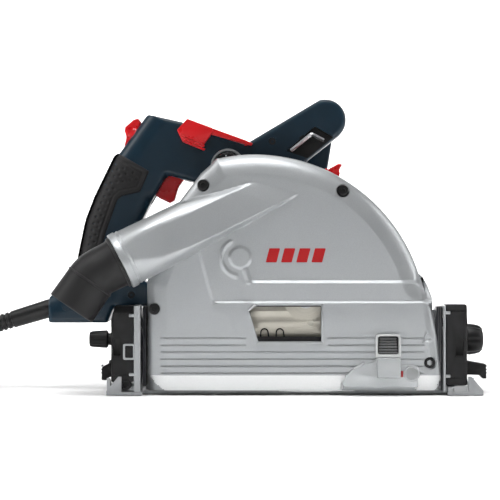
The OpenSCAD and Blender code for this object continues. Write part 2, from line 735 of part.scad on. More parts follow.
module brush_holders() color("#8d7a4b") for (s = [-1, 1])
    translate([motor_0[0], 0, motor_0[1]]) rotate([0, s > 0 ? 0 : 180, 0])
        box([12.4, 115, -5], [36, 126, 5]);

module switch_module() color("#2a2b2e") {
    box([-172, 53, 168], [-153, 71, 198]);
    box([-153.1, 58, 186], [-151, 66, 194]);
}

module dial_bezel() color("#b8bcc0") ytube(dial_p, 16.2, 13.4, 40.6, handle_near);

module hex_key() color("#a7acb1") {
    translate([-1.7, key_y, 228.4]) rotate([0, 51, 0]) cylinder(r = key_r, h = 27, $fn = 6);
    translate([18.6, key_y, 245]) rotate([0, 118, 0]) cylinder(r = key_r, h = 15, $fn = 6);
}

module handle_screws() color("#4a4d51") for (p = handle_screw_p) difference() {
    ycyl(p, 3.4, 41.9, handle_near);
    translate([p[0], 42.7, p[1]]) rotate([90, 0, 0]) cylinder(r = 1.6, h = 3, $fn = 6);
}

module motor_bearings() color("#9ea3a8") {
    ytube(motor_0, pinion_bearing_r, 4.03, 35.2, 40);
    ytube(motor_0, rotor_bearing_r, 4.03, 140, 147);
}

module spindle_bearings() color("#9ea3a8") {
    ytube(spin_0, nose_bearing_r, 8.03, 9.1, 17.9);
    ytube(spin_0, spindle_bearing_r, 8.03, 34.7, 41);
}

// ---- controls ------------------------------------------------------------

module trigger() color("#c5202a") yext(54, 70) polygon([[-119.6, 205], [-105, 202], [-112.1, 193],
    [-114.5, 181.3], [-118.9, 179.2], [-128.5, 183.7], [-138, 190], [-138, 200], [-126, 203]]);

module lock_button() color("#c5202a") lock_axis(62) {
    translate([0, 0, -8]) cylinder(r = 9.2, h = 12);
    translate([0, 0, 3.9]) cylinder(r1 = 9.2, r2 = 7, h = 3);
}

module mode_lever() color("#cb2129") {
    yext(38.6, 42.7) polygon([[-101.4, 259.4], [-76.4, 250.3], [-45, 238.5], [-38, 235], [-36.5, 229],
        [-41, 226], [-47, 229], [-52, 233.5], [-78, 243.5], [-87.3, 232.1], [-105.9, 237.4],
        [-111.1, 248.6]]);
    for (i = [0:2]) translate([-102 + 7*i, 38.7, 243 - 1.6*i]) rotate([0, -25, 0])
        box([-1.2, -2, -4], [1.2, 0, 10]);
    ycyl(lever_p, 3, 42.6, 51);
}

module speed_dial() color("#1c1d1f") difference() {
    union() {
        ycyl(dial_p, 13.2, 37.6, 42.8);
        ycyl(dial_p, 4, 42.7, 51);
    }
    for (a = [0:20:340]) translate([dial_p[0], 36, dial_p[1]]) rotate([0, a, 0]) translate([13.9, 0, 0])
        rotate([-90, 0, 0]) cylinder(r = 1.2, h = 5, $fn = 16);
    box([dial_p[0] - 1, 37, dial_p[1] + 2], [dial_p[0] + 1, 38.3, dial_p[1] + 12]);
}

// ---- blade and drive train ----------------------------------------------

function polar(r, a) = [r*cos(a), r*sin(a)];
// Angle between a point's radius and the start of its involute
function inv_a(r, base) = let (t = sqrt(max(r*r/(base*base) - 1, 0))) t*180/PI - atan(t);

// Involute gear outline, one tooth centred on angle 0
function gear_outline(n, play) =
    let (rp = gear_module*n/2, base = rp*cos(25), tip = rp + 0.8*gear_module, root = rp - 1.1*gear_module,
        half = 90/n - play*90/(PI*rp) + inv_a(rp, base), low = max(base, root),
        radii = [for (i = [0:4]) low + (tip - low)*i/4])
    [for (k = [0:n - 1]) each concat(
        [polar(root, 360*k/n - half)],
        [for (r = radii) polar(r, 360*k/n - half + inv_a(r, base))],
        [for (i = [4:-1:0]) polar(radii[i], 360*k/n + half - inv_a(radii[i], base))],
        [polar(root, 360*k/n + half)])];

module spindle() color("#8a8f95") difference() {
    ycyl(spin_0, 8, blade_t/2, 41);
    ycyl(spin_0, 4 + gap, -over, 18);
}

module drive_gear() color("#7d8288") difference() {
    yext(gear_y[0], gear_y[1]) translate(spin_0) rotate(mesh_a) polygon(gear_outline(gear_n, 0.12));
    ycyl(spin_0, 8 + 0.02, gear_y[0] - over, gear_y[1] + over);
}

module inner_flange() color("#5c6167") difference() {
    union() {
        ycyl(spin_0, 19.5, blade_t/2, 6);
        ycyl(spin_0, blade_bore - 0.04, -blade_t/2, blade_t/2 + 0.1);
    }
    ycyl(spin_0, 8.02, blade_t/2, 7);
    ycyl(spin_0, 4 + gap, -over, 2);
}

module saw_blade() color("#cfcabb") yext(-blade_t/2, blade_t/2) translate(spin_0) difference() {
    pitch = 360/blade_teeth;
    polygon([for (k = [0:blade_teeth - 1]) each [polar(blade_r - 5.2, pitch*(k + 0.16)),
        polar(blade_r - 6, pitch*(k + 0.3)), polar(blade_r - 4.6, pitch*(k + 0.5)),
        polar(blade_r - 1.6, pitch*(k + 0.62)), polar(blade_r, pitch*(k + 0.98)),
        polar(blade_r - 3, pitch*(k + 1.02))]]);
    circle(r = blade_bore);
    // expansion slots
    for (a = [30:90:300]) rotate(a) translate([blade_r - 20, -0.6]) square([16, 1.2]);
}

module outer_flange() color("#5c6167") difference() {
    ycyl(spin_0, 19.5, -5, -blade_t/2);
    ycyl(spin_0, 4 + gap, -6, 0);
}

module blade_bolt() color("#43474c") difference() {
    union() {
        ycyl(spin_0, 8, -10.6, -5);
        ycyl(spin_0, 4, -5.1, 17);
    }
    translate([spin_0[0], -7.4, spin_0[1]]) rotate([90, 0, 0]) cylinder(r = 3.4, h = 5, $fn = 6);
}

module rotor() color("#9a6a3c") {
    yext(gear_y[0], gear_y[1]) translate(motor_0) rotate(mesh_a + 180/pinion_n)
        polygon(gear_outline(pinion_n, 0.12));
    ycyl(motor_0, 4, gear_y[1] - 0.1, 147);
    ycyl(motor_0, 25.8, 66, 104);
    ycyl(motor_0, 11, 113, 128);
}

module cooling_fan() color("#d9d4c4") difference() {
    union() {
        ycyl(motor_0, 33, 44, 46);
        ycyl(motor_0, 9, 44, 55);
        for (a = [0:30:330]) translate([motor_0[0], 45, motor_0[1]]) rotate([0, a, 0])
            box([8, 0, -0.8], [33, 10, 0.8]);
    }
    ycyl(motor_0, 4.02, 43, 56);
}

// ---- cord ----------------------------------------------------------------

module cord_sleeve() color("#141517") difference() {
    along(sleeve_p + [3, 0, 0.9], [-cos(sleeve_a), 0, -sin(sleeve_a)]) difference() {
        cylinder(r1 = 9.6, r2 = 7, h = sleeve_l + 3.1);
        for (i = [0:5]) translate([0, 0, 22 + 6*i]) difference() {
            cylinder(r = 12, h = 2.4);
            cylinder(r = 6.6, h = 2.4);
        }
    }
    box([-235.05, 40, 40], [-200, 90, 110]);
}

module cord_run() color("#121315") tube_along(cord_pts, cord_d/2);

module cord_coil() color("#121315") {
    translate([coil_c[0], coil_c[1], 0]) rotate_extrude($fn = 96)
        translate([coil_r - coil_w/2, 0]) square([coil_w, coil_h]);
    tube_along(tail_pts, cord_d/2 - 0.05);
}

module plug() color("#131416") translate(plug_p) {
    rotate([0, 90, 0]) cylinder(r1 = 6, r2 = 8.5, h = 18);
    translate([17.9, 0, 0]) xext(0, 24) offset(r = 8) square([20, 4], center = true);
}

module plug_pins() color("#c4b27a") for (s = [-1, 1])
    translate(plug_p + [41.9, s*pin_span/2, 0]) rotate([0, 90, 0]) cylinder(r = pin_r, h = 19);

base_plate();
front_quadrant();
rear_quadrant();
front_scale_cover();
rear_scale_cover();
glide_strips();
quadrant_screws();
cut_indicator();
front_bevel_lever();
rear_bevel_lever();
front_rail_cam();
rear_rail_cam();
guard_housing();
blade_cover();
cover_screws();
depth_scale();
pivot_pin();
return_spring();
front_clamp_bolt();
rear_clamp_bolt();
port_ring();
front_bevel_knob();
rear_bevel_knob();
splinter_guard();
splinter_pad();
depth_stop();
dust_elbow();
gear_case();
gear_cover();
motor_housing();
motor_end_cap();
handle_near_shell();
handle_far_shell();
handle_grip();
front_grip();
stator();
brush_holders();
switch_module();
dial_bezel();
hex_key();
handle_screws();
motor_bearings();
spindle_bearings();
trigger();
lock_button();
mode_lever();
speed_dial();
spindle();
drive_gear();
inner_flange();
saw_blade();
outer_flange();
blade_bolt();
rotor();
cooling_fan();
cord_sleeve();
cord_run();
cord_coil();
plug();
plug_pins();
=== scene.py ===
"""Track plunge saw: the looks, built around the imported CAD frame.

Frame: +X is the cutting direction, +Y the motor side, +Z up, origin on the sole in the blade plane.
Shapes below are written in millimetres and scaled by MM when a mesh is made.
"""
import contextlib
import math

import bmesh
import bpy
import numpy as np
from mathutils import Matrix, Vector


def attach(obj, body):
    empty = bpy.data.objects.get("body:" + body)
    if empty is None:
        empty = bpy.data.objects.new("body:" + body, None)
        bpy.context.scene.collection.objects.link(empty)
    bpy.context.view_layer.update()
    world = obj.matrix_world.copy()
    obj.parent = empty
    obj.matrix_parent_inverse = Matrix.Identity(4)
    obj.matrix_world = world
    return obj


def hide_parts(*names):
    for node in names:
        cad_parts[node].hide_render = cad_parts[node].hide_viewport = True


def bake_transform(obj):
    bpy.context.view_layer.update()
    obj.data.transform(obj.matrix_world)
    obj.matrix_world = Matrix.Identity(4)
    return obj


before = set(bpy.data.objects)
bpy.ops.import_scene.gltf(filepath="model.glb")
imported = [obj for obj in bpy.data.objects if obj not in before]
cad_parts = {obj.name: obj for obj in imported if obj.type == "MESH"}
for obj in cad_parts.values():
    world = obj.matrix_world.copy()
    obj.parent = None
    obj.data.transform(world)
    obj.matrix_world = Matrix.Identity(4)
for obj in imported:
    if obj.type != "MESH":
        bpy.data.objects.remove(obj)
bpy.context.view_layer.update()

MM = 0.001
SPIN = (10, 88)  # spindle in X and Z
MESH = math.radians(115)  # direction from the spindle to the motor's axis, 24 mm away
MOTOR = (SPIN[0] + 24*math.cos(MESH), SPIN[1] + 24*math.sin(MESH))
ARC_C, ARC_R = (-36.8, 63), 159.6  # the guard's main arc
MOUTH, TUBE_V = np.array((-161, -19, 123.3)), np.array((158, 21, 82))  # dust tube: mouth and direction
GRIP_END = (30.7, 258.8)  # centre of the front arm's round end


# ---- camera, stage and light ----

def make_camera():
    cam = bpy.data.objects.new("camera", bpy.data.cameras.new("camera"))
    bpy.context.collection.objects.link(cam)
    cam.location = (-0.0414, -1.5, 0.134)
    cam.rotation_euler = (math.pi/2, 0, 0)
    cam.data.sensor_width = 36
    cam.data.lens = 116
    bpy.context.scene.camera = cam


def area_light(name, place, aim, size, watts, spread=180):
    data = bpy.data.lights.new(name, "AREA")
    data.shape, data.size, data.size_y = "RECTANGLE", size[0], size[1]
    data.energy, data.spread = watts, math.radians(spread)
    lamp = bpy.data.objects.new(name, data)
    bpy.context.collection.objects.link(lamp)
    lamp.location = place
    lamp.rotation_euler = (Vector(aim) - Vector(place)).to_track_quat("-Z", "Y").to_euler()


def make_stage():
    """A pale floor that curves up into a pale backdrop."""
    under, bend_y, bend_r = -0.0006, 1.6, 1.2
    profile = [(-3.0, under), (bend_y, under)]
    profile += [(bend_y + bend_r*math.sin(a), bend_r - bend_r*math.cos(a) + under)
                for a in np.radians(np.arange(6, 91, 6))]
    profile += [(bend_y + bend_r, 4.0)]
    mesh = bpy.data.meshes.new("floor")
    mesh.from_pydata([(x, y, z) for y, z in profile for x in (-5, 5)], [],
                     [(k, k + 1, k + 3, k + 2) for k in range(0, 2*len(profile) - 2, 2)])
    floor = bpy.data.objects.new("floor", mesh)
    bpy.context.collection.objects.link(floor)
    mat = bpy.data.materials.new("stage_paper")
    mat.use_nodes = True
    shader = mat.node_tree.nodes["Principled BSDF"]
    shader.inputs["Base Color"].default_value = (0.93, 0.93, 0.93, 1)
    shader.inputs["Roughness"].default_value = 0.7
    mesh.materials.append(mat)
    mesh.shade_smooth()


def make_light():
    world = bpy.data.worlds.new("studio")
    bpy.context.scene.world = world
    world.use_nodes = True
    world.node_tree.nodes["Background"].inputs[0].default_value = (1, 1, 1, 1)
    world.node_tree.nodes["Background"].inputs[1].default_value = 0.14
    area_light("top_softbox", (-0.1, 0.15, 1.3), (0, 0.05, 0.1), (1.5, 0.9), 8)
    area_light("left_strip", (-1.4, -0.2, 0.8), (-0.05, 0, 0.15), (0.5, 1.4), 9)
    area_light("right_strip", (1.4, -0.1, 0.7), (0.1, 0, 0.1), (0.5, 1.2), 7)
    area_light("front_fill", (0.1, -2.4, 1.5), (0, 0, 0.12), (1.0, 0.6), 2)
    area_light("low_fill", (0, -1.9, 0.12), (0, 0, 0.1), (1.6, 0.2), 0.5)
    area_light("far_floor_glow", (0, 1.1, 1.2), (0, 1.1, 0), (3.4, 0.8), 22, 70)
    area_light("back_glow", (0, 1.9, 1.5), (0, 2.8, 0.3), (3.6, 1.2), 70)
    area_light("floor_glow", (0, -0.55, 1.3), (0, -0.5, 0), (2.6, 0.4), 12, 60)
    bpy.context.scene.view_settings.view_transform = "Standard"


# ---- materials ----

class Nodes:
    """Short hand for building one material's node tree."""

    def __init__(self, name):
        self.mat = bpy.data.materials.new(name)
        self.mat.use_nodes = True
        self.tree = self.mat.node_tree
        self.shader = self.tree.nodes["Principled BSDF"]
        self.coord = self.tree.nodes.new("ShaderNodeTexCoord").outputs["Object"]

    def set(self, **values):
        for key, value in values.items():
            socket = self.shader.inputs[key.replace("_", " ")]
            socket.default_value = value
        return self

    def node(self, kind, inputs=(), **props):
        """A new node; each input gets a value, or a link from another node's output."""
        made = self.tree.nodes.new(kind)
        for key, value in props.items():
            setattr(made, key, value)
        for key, value in dict(inputs).items():
            if hasattr(value, "is_linked"):
                self.tree.links.new(value, made.inputs[key])
            else:
                made.inputs[key].default_value = value
        return made

    def noise(self, scale, detail=3, rough=0.5, vector=None):
        return self.node("ShaderNodeTexNoise", {"Vector": vector or self.coord, "Scale": scale,
                                                "Detail": detail, "Roughness": rough}).outputs["Fac"]

    def ramp(self, fac, *stops):
        """A colour ramp with two stops of (place, colour or grey)."""
        made = self.node("ShaderNodeValToRGB", {"Fac": fac})
        for element, (place, colour) in zip(made.color_ramp.elements, stops):
            element.position = place
            element.color = (*colour, 1) if isinstance(colour, tuple) else (colour, colour, colour, 1)
        return made.outputs["Color"]

    def maths(self, operation, a, b):
        return self.node("ShaderNodeMath", {0: a, 1: b}, operation=operation).outputs[0]

    def mix(self, fac, a, b):
        inputs = {0: fac, 6: (*a, 1), 7: (*b, 1)}
        return self.node("ShaderNodeMix", inputs, data_type="RGBA").outputs[2]

    def link(self, output, name):
        self.tree.links.new(output, self.shader.inputs[name])
        return self

    def bump(self, height, strength, distance):
        made = self.node("ShaderNodeBump", {"Height": height, "Strength": strength, "Distance": distance})
        return self.link(made.outputs["Normal"], "Normal")

    def wear(self, colour, edge, amount):
        """Lighter rubbed edges, broken up by noise."""
        point = self.node("ShaderNodeNewGeometry").outputs["Pointiness"]
        sharp = self.ramp(point, (0.5, 0), (0.56, 1))
        broken = self.maths("MULTIPLY", sharp, self.maths("MULTIPLY", self.noise(90, 4), amount*2))
        return self.link(self.mix(broken, colour, edge), "Base Color")


def silver_paint(name="silver_paint", dark=(0.29, 0.30, 0.31), pale=(0.385, 0.40, 0.41)):
    n = Nodes(name).set(Metallic=0.55, Roughness=0.38, Coat_Weight=0.25, Coat_Roughness=0.22)
    flake = n.node("ShaderNodeTexVoronoi", {"Vector": n.coord, "Scale": 2600.0}).outputs["Distance"]
    n.link(n.ramp(flake, (0.0, dark), (0.55, pale)), "Base Color")
    n.link(n.ramp(n.noise(60, 3), (0.3, 0.33), (0.7, 0.42)), "Roughness")
    return n.bump(flake, 0.12, 0.0002).mat


def cast_metal(name, colour, dark, rough=0.45):
    n = Nodes(name).set(Metallic=0.8, Roughness=rough)
    n.link(n.mix(n.ramp(n.noise(35, 5), (0.35, 0), (0.7, 1)), dark, colour), "Base Color")
    return n.bump(n.noise(900, 2), 0.18, 0.0003).mat


def ground_steel(name, colour, rough=0.3):
    n = Nodes(name).set(Metallic=1.0, Roughness=rough)
    stretched = n.node("ShaderNodeMapping", {"Vector": n.coord, "Scale": (900, 900, 40)}).outputs["Vector"]
    lines = n.noise(1.0, 3, 0.6, stretched)
    n.link(n.ramp(lines, (0.3, tuple(c*0.86 for c in colour)), (0.7, colour)), "Base Color")
    n.link(n.ramp(lines, (0.2, rough*0.8), (0.8, rough*1.25)), "Roughness")
    return n.bump(lines, 0.08, 0.0002).mat


def blade_steel():
    """Pale ground steel whose grinding lines run round the spindle."""
    n = Nodes("blade_steel").set(Metallic=0.75, Roughness=0.4)
    centred = n.node("ShaderNodeMapping", {"Vector": n.coord, "Location": (-SPIN[0]*MM, 0, -SPIN[1]*MM)})
    length = n.node("ShaderNodeVectorMath", {0: centred.outputs["Vector"]}, operation="LENGTH")
    rings = n.node("ShaderNodeTexNoise", {"W": n.maths("MULTIPLY", length.outputs["Value"], 2500.0),
                                          "Scale": 1.0, "Detail": 3.0}, noise_dimensions="1D").outputs["Fac"]
    n.link(n.ramp(rings, (0.3, (0.38, 0.36, 0.31)), (0.75, (0.58, 0.555, 0.49))), "Base Color")
    return n.bump(rings, 0.1, 0.0002).mat


def moulded(name, colour, edge, rough=0.45, grain=1400, depth=0.25, coat=0.0, shine=0.5):
    n = Nodes(name).set(Specular_IOR_Level=shine, Roughness=rough, Coat_Weight=coat, Coat_Roughness=0.15)
    n.wear(colour, edge, 0.25)
    n.link(n.ramp(n.noise(45, 4), (0.3, rough*0.85), (0.75, rough*1.12)), "Roughness")
    return n.bump(n.noise(grain, 2), depth, 0.0002).mat


def dotted_rubber():
    n = Nodes("dotted_rubber").set(Roughness=0.5, Specular_IOR_Level=0.3)
    n.wear((0.009, 0.0085, 0.009), (0.03, 0.03, 0.032), 0.3)
    return n.bump(n.noise(1800, 3), 0.35, 0.0002).mat


def clear_plastic():
    n = Nodes("clear_plastic").set(Roughness=0.06, IOR=1.45, Transmission_Weight=0.72,
                                   Base_Color=(0.93, 0.95, 0.96, 1))
    n.link(n.ramp(n.noise(80, 4), (0.35, 0.03), (0.8, 0.14)), "Roughness")
    return n.bump(n.noise(300, 2), 0.05, 0.0002).mat


def copper_wire():
    n = Nodes("copper_wire").set(Metallic=1.0, Roughness=0.35)
    n.link(n.ramp(n.noise(160, 3), (0.3, (0.45, 0.22, 0.10)), (0.7, (0.72, 0.40, 0.22))), "Base Color")
    return n.bump(n.noise(1200, 2), 0.3, 0.0003).mat


make_camera()
make_stage()
make_light()
MATS = {
    "silver": silver_paint(),
    # paler copy of the silver paint: painted highlight on the window's corner bevel and painted reflection of
    # the floor on the cover's foot
    "painted_highlight_silver": silver_paint("painted_highlight_silver", (0.66, 0.67, 0.67), (0.82, 0.83, 0.83)),
    "casting": cast_metal("casting", (0.40, 0.41, 0.42), (0.30, 0.31, 0.32)),
    "dark_casting": cast_metal("dark_casting", (0.05, 0.052, 0.057), (0.028, 0.029, 0.032), 0.55),
    "steel": ground_steel("steel", (0.50, 0.51, 0.53)),
    "bright_steel": ground_steel("bright_steel", (0.78, 0.79, 0.80), rough=0.18),
    "blade": blade_steel(),
    "petrol": moulded("petrol_plastic", (0.0025, 0.016, 0.030), (0.03, 0.07, 0.10), 0.34, shine=0.4),
    "black": moulded("black_plastic", (0.004, 0.004, 0.0042), (0.03, 0.03, 0.032), 0.42, shine=0.25),
    "cord": moulded("cord_rubber", (0.005, 0.005, 0.0055), (0.02, 0.02, 0.02), 0.42, 900, 0.2, shine=0.4),
    "rubber": dotted_rubber(),
    "red": moulded("red_plastic", (0.60, 0.004, 0.008), (0.75, 0.05, 0.05), 0.3, 900, 0.12, 0.2, shine=0.35),
    "red_print": moulded("red_print", (0.34, 0.004, 0.006), (0.45, 0.03, 0.03), 0.45, shine=0.25),
    "clear": clear_plastic(),
    "copper": copper_wire(),
    "pale": moulded("pale_plastic", (0.62, 0.60, 0.52), (0.75, 0.74, 0.68), 0.5),
    "brass": cast_metal("brass", (0.70, 0.52, 0.22), (0.55, 0.40, 0.15), 0.3),
    "pad_grey": moulded("pad_grey", (0.055, 0.057, 0.06), (0.2, 0.2, 0.2), 0.3),
    "frosted": moulded("frosted_plastic", (0.42, 0.43, 0.43), (0.8, 0.8, 0.8), 0.18, coat=0.4),
    "white_print": moulded("white_print", (0.75, 0.76, 0.77), (0.8, 0.8, 0.8), 0.5),
}


# ---- mesh helpers ----

def link(name, mesh, mat=None, angle=35):
    obj = bpy.data.objects.new(name, mesh)
    bpy.context.collection.objects.link(obj)
    if mat:
        mesh.materials.clear()
        mesh.materials.append(MATS[mat])
    return soften(obj, angle)


@contextlib.contextmanager
def editing(mesh):
    bm = bmesh.new()
    bm.from_mesh(mesh)
    yield bm
    bm.to_mesh(mesh)
    bm.free()


def soften(obj, angle=35):
    """Smooth shading, with edges past this angle left sharp."""
    obj.data.shade_smooth()
    limit = math.radians(angle)
    with editing(obj.data) as bm:
        for edge in bm.edges:
            edge.smooth = len(edge.link_faces) == 2 and edge.calc_face_angle(0) < limit
    return obj


def mesh_from(name, verts, faces, mat=None):
    mesh = bpy.data.meshes.new(name)
    mesh.from_pydata([tuple(float(c)*MM for c in v) for v in verts], [], faces)
    mesh.validate()
    with editing(mesh) as bm:
        bmesh.ops.remove_doubles(bm, verts=bm.verts, dist=1e-7)
        bmesh.ops.recalc_face_normals(bm, faces=bm.faces)
    return link(name, mesh, mat)


def fillet(points, radius=0.0, steps=6):
    """Round the corners of a closed outline. A point may carry its own radius as a third number."""
    out = []
    count = len(points)
    for i, here in enumerate(points):
        p = np.array(here[:2], float)
        a = np.array(points[i - 1][:2], float) - p
        b = np.array(points[(i + 1) % count][:2], float) - p
        r = here[2] if len(here) > 2 else radius
        la, lb = np.linalg.norm(a), np.linalg.norm(b)
        a, b = a/la, b/lb
        half = math.acos(max(-1, min(1, float(a @ b))))/2
        if r <= 0 or half > math.pi/2 - 0.02:
            out.append(tuple(p))
            continue
        reach = min(r/math.tan(half), 0.48*min(la, lb))
        r = reach*math.tan(half)
        centre = p + (a + b)/np.linalg.norm(a + b)*math.hypot(r, reach)
        start, end = p + a*reach - centre, p + b*reach - centre
        sweep = math.atan2(start[0]*end[1] - start[1]*end[0], float(start @ end))
        for k in range(steps + 1):
            t = sweep*k/steps
            out.append((centre[0] + start[0]*math.cos(t) - start[1]*math.sin(t),
                        centre[1] + start[0]*math.sin(t) + start[1]*math.cos(t)))
    return out


def polar(centre, r, degrees):
    a = math.radians(degrees)
    return centre[0] + r*math.cos(a), centre[1] + r*math.sin(a)


def circle_pts(centre, r, n, a0=0.0, a1=360.0):
    """n points of a circle, or of the arc from a0 to a1 degrees."""
    steps = n if abs(a1 - a0) >= 360 else n - 1
    return [polar(centre, r, a0 + (a1 - a0)*k/steps) for k in range(n)]


def beside(line, left, right):
    """The two lines that run left and right of an open line, at these distances."""
    outer, inner = [], []
    for i, p in enumerate(line):
        a, b = np.array(line[max(i - 1, 0)]), np.array(line[min(i + 1, len(line) - 1)])
        d = (b - a)/np.linalg.norm(b - a)
        normal = np.array((-d[1], d[0]))
        outer.append(np.array(p) + normal*left)
        inner.append(np.array(p) - normal*right)
    return outer, inner


PLANES = {
    # each maps an outline's (u, v) and its depth w to X, Y, Z
    "xz": lambda u, v, w: (u, w, v),
    "yz": lambda u, v, w: (w, u, v),
    "xy": lambda u, v, w: (u, v, w),
}


def plate(name, outlines, w0, w1, bevel, mat=None, plane="xz", segments=3, angle=35):
    """A slab between depths w0 and w1 with rounded rims: the first outline is its edge, the rest holes."""
    if not isinstance(outlines[0][0], (tuple, list)):
        outlines = [outlines]
    curve = bpy.data.curves.new(name, "CURVE")
    curve.dimensions, curve.fill_mode = "2D", "BOTH"
    for outline in outlines:
        spline = curve.splines.new("POLY")
        spline.points.add(len(outline) - 1)
        for point, place in zip(spline.points, outline):
            point.co = (place[0], place[1], 0, 1)
        spline.use_cyclic_u = True
    curve.extrude = max((w1 - w0)/2 - bevel, 0.001)
    curve.bevel_depth, curve.bevel_resolution, curve.offset = bevel, segments, -bevel
    temp = bpy.data.objects.new(name + "_curve", curve)
    bpy.context.collection.objects.link(temp)
    mesh = bpy.data.meshes.new_from_object(temp.evaluated_get(bpy.context.evaluated_depsgraph_get()))
    bpy.data.objects.remove(temp)
    bpy.data.curves.remove(curve)
    middle = (w0 + w1)/2
    place = PLANES[plane]
    for vert in mesh.vertices:
        x, y, z = vert.co
        vert.co = Vector(place(x, y, z + middle))*MM
    with editing(mesh) as bm:
        bmesh.ops.remove_doubles(bm, verts=bm.verts, dist=1e-6)
        bmesh.ops.dissolve_degenerate(bm, edges=bm.edges, dist=1e-7)
        bmesh.ops.recalc_face_normals(bm, faces=bm.faces)
    mesh.name = name
    return link(name, mesh, mat, angle)


def loft(name, rings, mat=None):
    """Closed skin over rings of equal point counts."""
    n = len(rings[0])
    verts = [p for ring in rings for p in ring]
    faces = [(i*n + k, i*n + (k + 1) % n, (i + 1)*n + (k + 1) % n, (i + 1)*n + k)
             for i in range(len(rings) - 1) for k in range(n)]
    faces.append(tuple(range(n - 1, -1, -1)))
    faces.append(tuple((len(rings) - 1)*n + k for k in range(n)))
    return mesh_from(name, verts, faces, mat)


def axes_of(direction):
    """The direction's unit vector and two across it."""
    t = np.array(direction, float)
    t /= np.linalg.norm(t)
    s = np.cross(t, (0.0, 0.0, 1.0))
    if np.linalg.norm(s) < 1e-6:
        s = np.cross(t, (1.0, 0, 0))
    s /= np.linalg.norm(s)
    return t, s, np.cross(s, t)


def ring_at(centre, s, u, radius, n=64, shape=None):
    """A ring of n points in the plane of s and u; shape(angle) scales its radius."""
    out = []
    for k in range(n):
        a = 2*math.pi*k/n
        out.append(centre + radius*(shape(a) if shape else 1)*(math.cos(a)*s + math.sin(a)*u))
    return out


def turned(name, start, direction, profile, mat=None, n=64, shape=None):
    """A turned piece from a profile of (distance along, radius); shape(angle, along) scales the radius."""
    t, s, u = axes_of(direction)
    rings = [ring_at(np.array(start, float) + t*along, s, u, r, n, shape and (lambda a: shape(a, along)))
             for along, r in profile]
    return loft(name, rings, mat)


def block(name, low, high, mat=None, bevel=0.6, segments=2):
    """A box with rounded edges."""
    mesh = bpy.data.meshes.new(name)
    low, high = np.array(low, float), np.array(high, float)
    with editing(mesh) as bm:
        bmesh.ops.create_cube(bm, size=1)
        for vert in bm.verts:
            vert.co = Vector((low + high)/2 + np.array(vert.co)*(high - low))*MM
        bmesh.ops.bevel(bm, geom=list(bm.edges), offset=bevel*MM, segments=segments, profile=0.5,
                        affect="EDGES")
    return link(name, mesh, mat)


def modify(obj, kind, **settings):
    modifier = obj.modifiers.new(kind.lower(), kind)
    for key, value in settings.items():
        setattr(modifier, key, value)


def apply_all(obj):
    mesh = bpy.data.meshes.new_from_object(obj.evaluated_get(bpy.context.evaluated_depsgraph_get()))
    old = obj.data
    obj.modifiers.clear()
    obj.data = mesh
    mesh.name = obj.name
    bpy.data.meshes.remove(old)


def cut(obj, cutters):
    """Cut each of the cutters out of obj and drop them."""
    for tool in cutters:
        modify(obj, "BOOLEAN", operation="DIFFERENCE", object=tool, solver="EXACT")
        apply_all(obj)
    for tool in cutters:
        bpy.data.objects.remove(tool)


def put(obj, body, replaces=()):
    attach(obj, body)
    if replaces:
        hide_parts(*replaces)
    return obj


def join(name, objs):
    """Join pieces into one mesh, keeping their materials."""
    bm = bmesh.new()
    mats = []
    for obj in objs:
        start = len(bm.faces)
        bm.from_mesh(obj.data)
        bm.faces.ensure_lookup_table()
        index = []
        for mat in obj.data.materials:
            if mat not in mats:
                mats.append(mat)
            index.append(mats.index(mat))
        for face in list(bm.faces)[start:]:
            face.material_index = index[face.material_index] if index else 0
    mesh = bpy.data.meshes.new(name)
    bm.to_mesh(mesh)
    bm.free()
    for mat in mats:
        mesh.materials.append(mat)
    for obj in objs:
        bpy.data.objects.remove(obj)
    made = bpy.data.objects.new(name, mesh)
    bpy.context.collection.objects.link(made)
    return made


def put_whole(name, pieces, body, replaces=()):
    """Join pieces into one smooth-shaded piece on a body."""
    return put(soften(join(name, pieces)), body, replaces)


def near_line(points, line):
    """Distance of each of the points to a polyline, all in two dimensions."""
    p = np.asarray(points, float)
    best = np.full(len(p), 1e9)
    for a, b in zip(line, line[1:]):
        a, b = np.array(a, float), np.array(b, float)
        d = b - a
        t = np.clip(((p - a) @ d)/max(d @ d, 1e-9), 0, 1)
        best = np.minimum(best, np.linalg.norm(p - a - t[:, None]*d, axis=1))
    return best


def closed(points):
    return list(points) + [points[0]]


def inside(p, polygon):
    """Is p inside the closed polygon?"""
    hit = False
    for (x0, z0), (x1, z1) in zip(polygon, polygon[1:]):
        if (z0 > p[1]) != (z1 > p[1]) and p[0] < x0 + (p[1] - z0)*(x1 - x0)/(z1 - z0):
            hit = not hit
    return hit


def smooth_step(x, a, b):
    t = np.clip((np.asarray(x, float) - a)/(b - a), 0, 1)
    return t*t*(3 - 2*t)


# ---- cord ----

CORD_D = 9.0
COIL_C, COIL_R, COIL_STEP = (-380, 60), (39.3, 48.5, 57.7, 66.9), 9.2
FIRST_R = 45.8  # radius at which the run joins the coil
RUN = [(-292.6, 62, 60.15), (-299.2, 62, 58.2), (-306.2, 62.3, 55.9), (-313, 63.5, 53.4),
       (-319.5, 65.9, 50.8), (-325.7, 69.4, 48.2), (-331.6, 73.8, 45.6), (-337.2, 78.8, 43.2),
       (-342.4, 84.2, 40.9), (-347.4, 89.4, 38.8), (-352.2, 94.2, 36.9), (-357.3, 98.4, 35.2),
       (-363, 101.8, 33.8), (-369.3, 104.2, 32.8), (-376, 105.6, 32.2)]
TAIL = [(-405.4, -2.9, 4.6), (-399, -5.4, 4.6), (-393, -7.6, 4.7), (-387, -9.6, 5),
        (-381, -11.2, 5.6), (-375, -12.4, 6.4), (-369, -13.2, 7.4), (-363, -13.7, 8.6),
        (-357, -13.9, 9.6), (-352, -14, 10), (-348.05, -14, 10)]


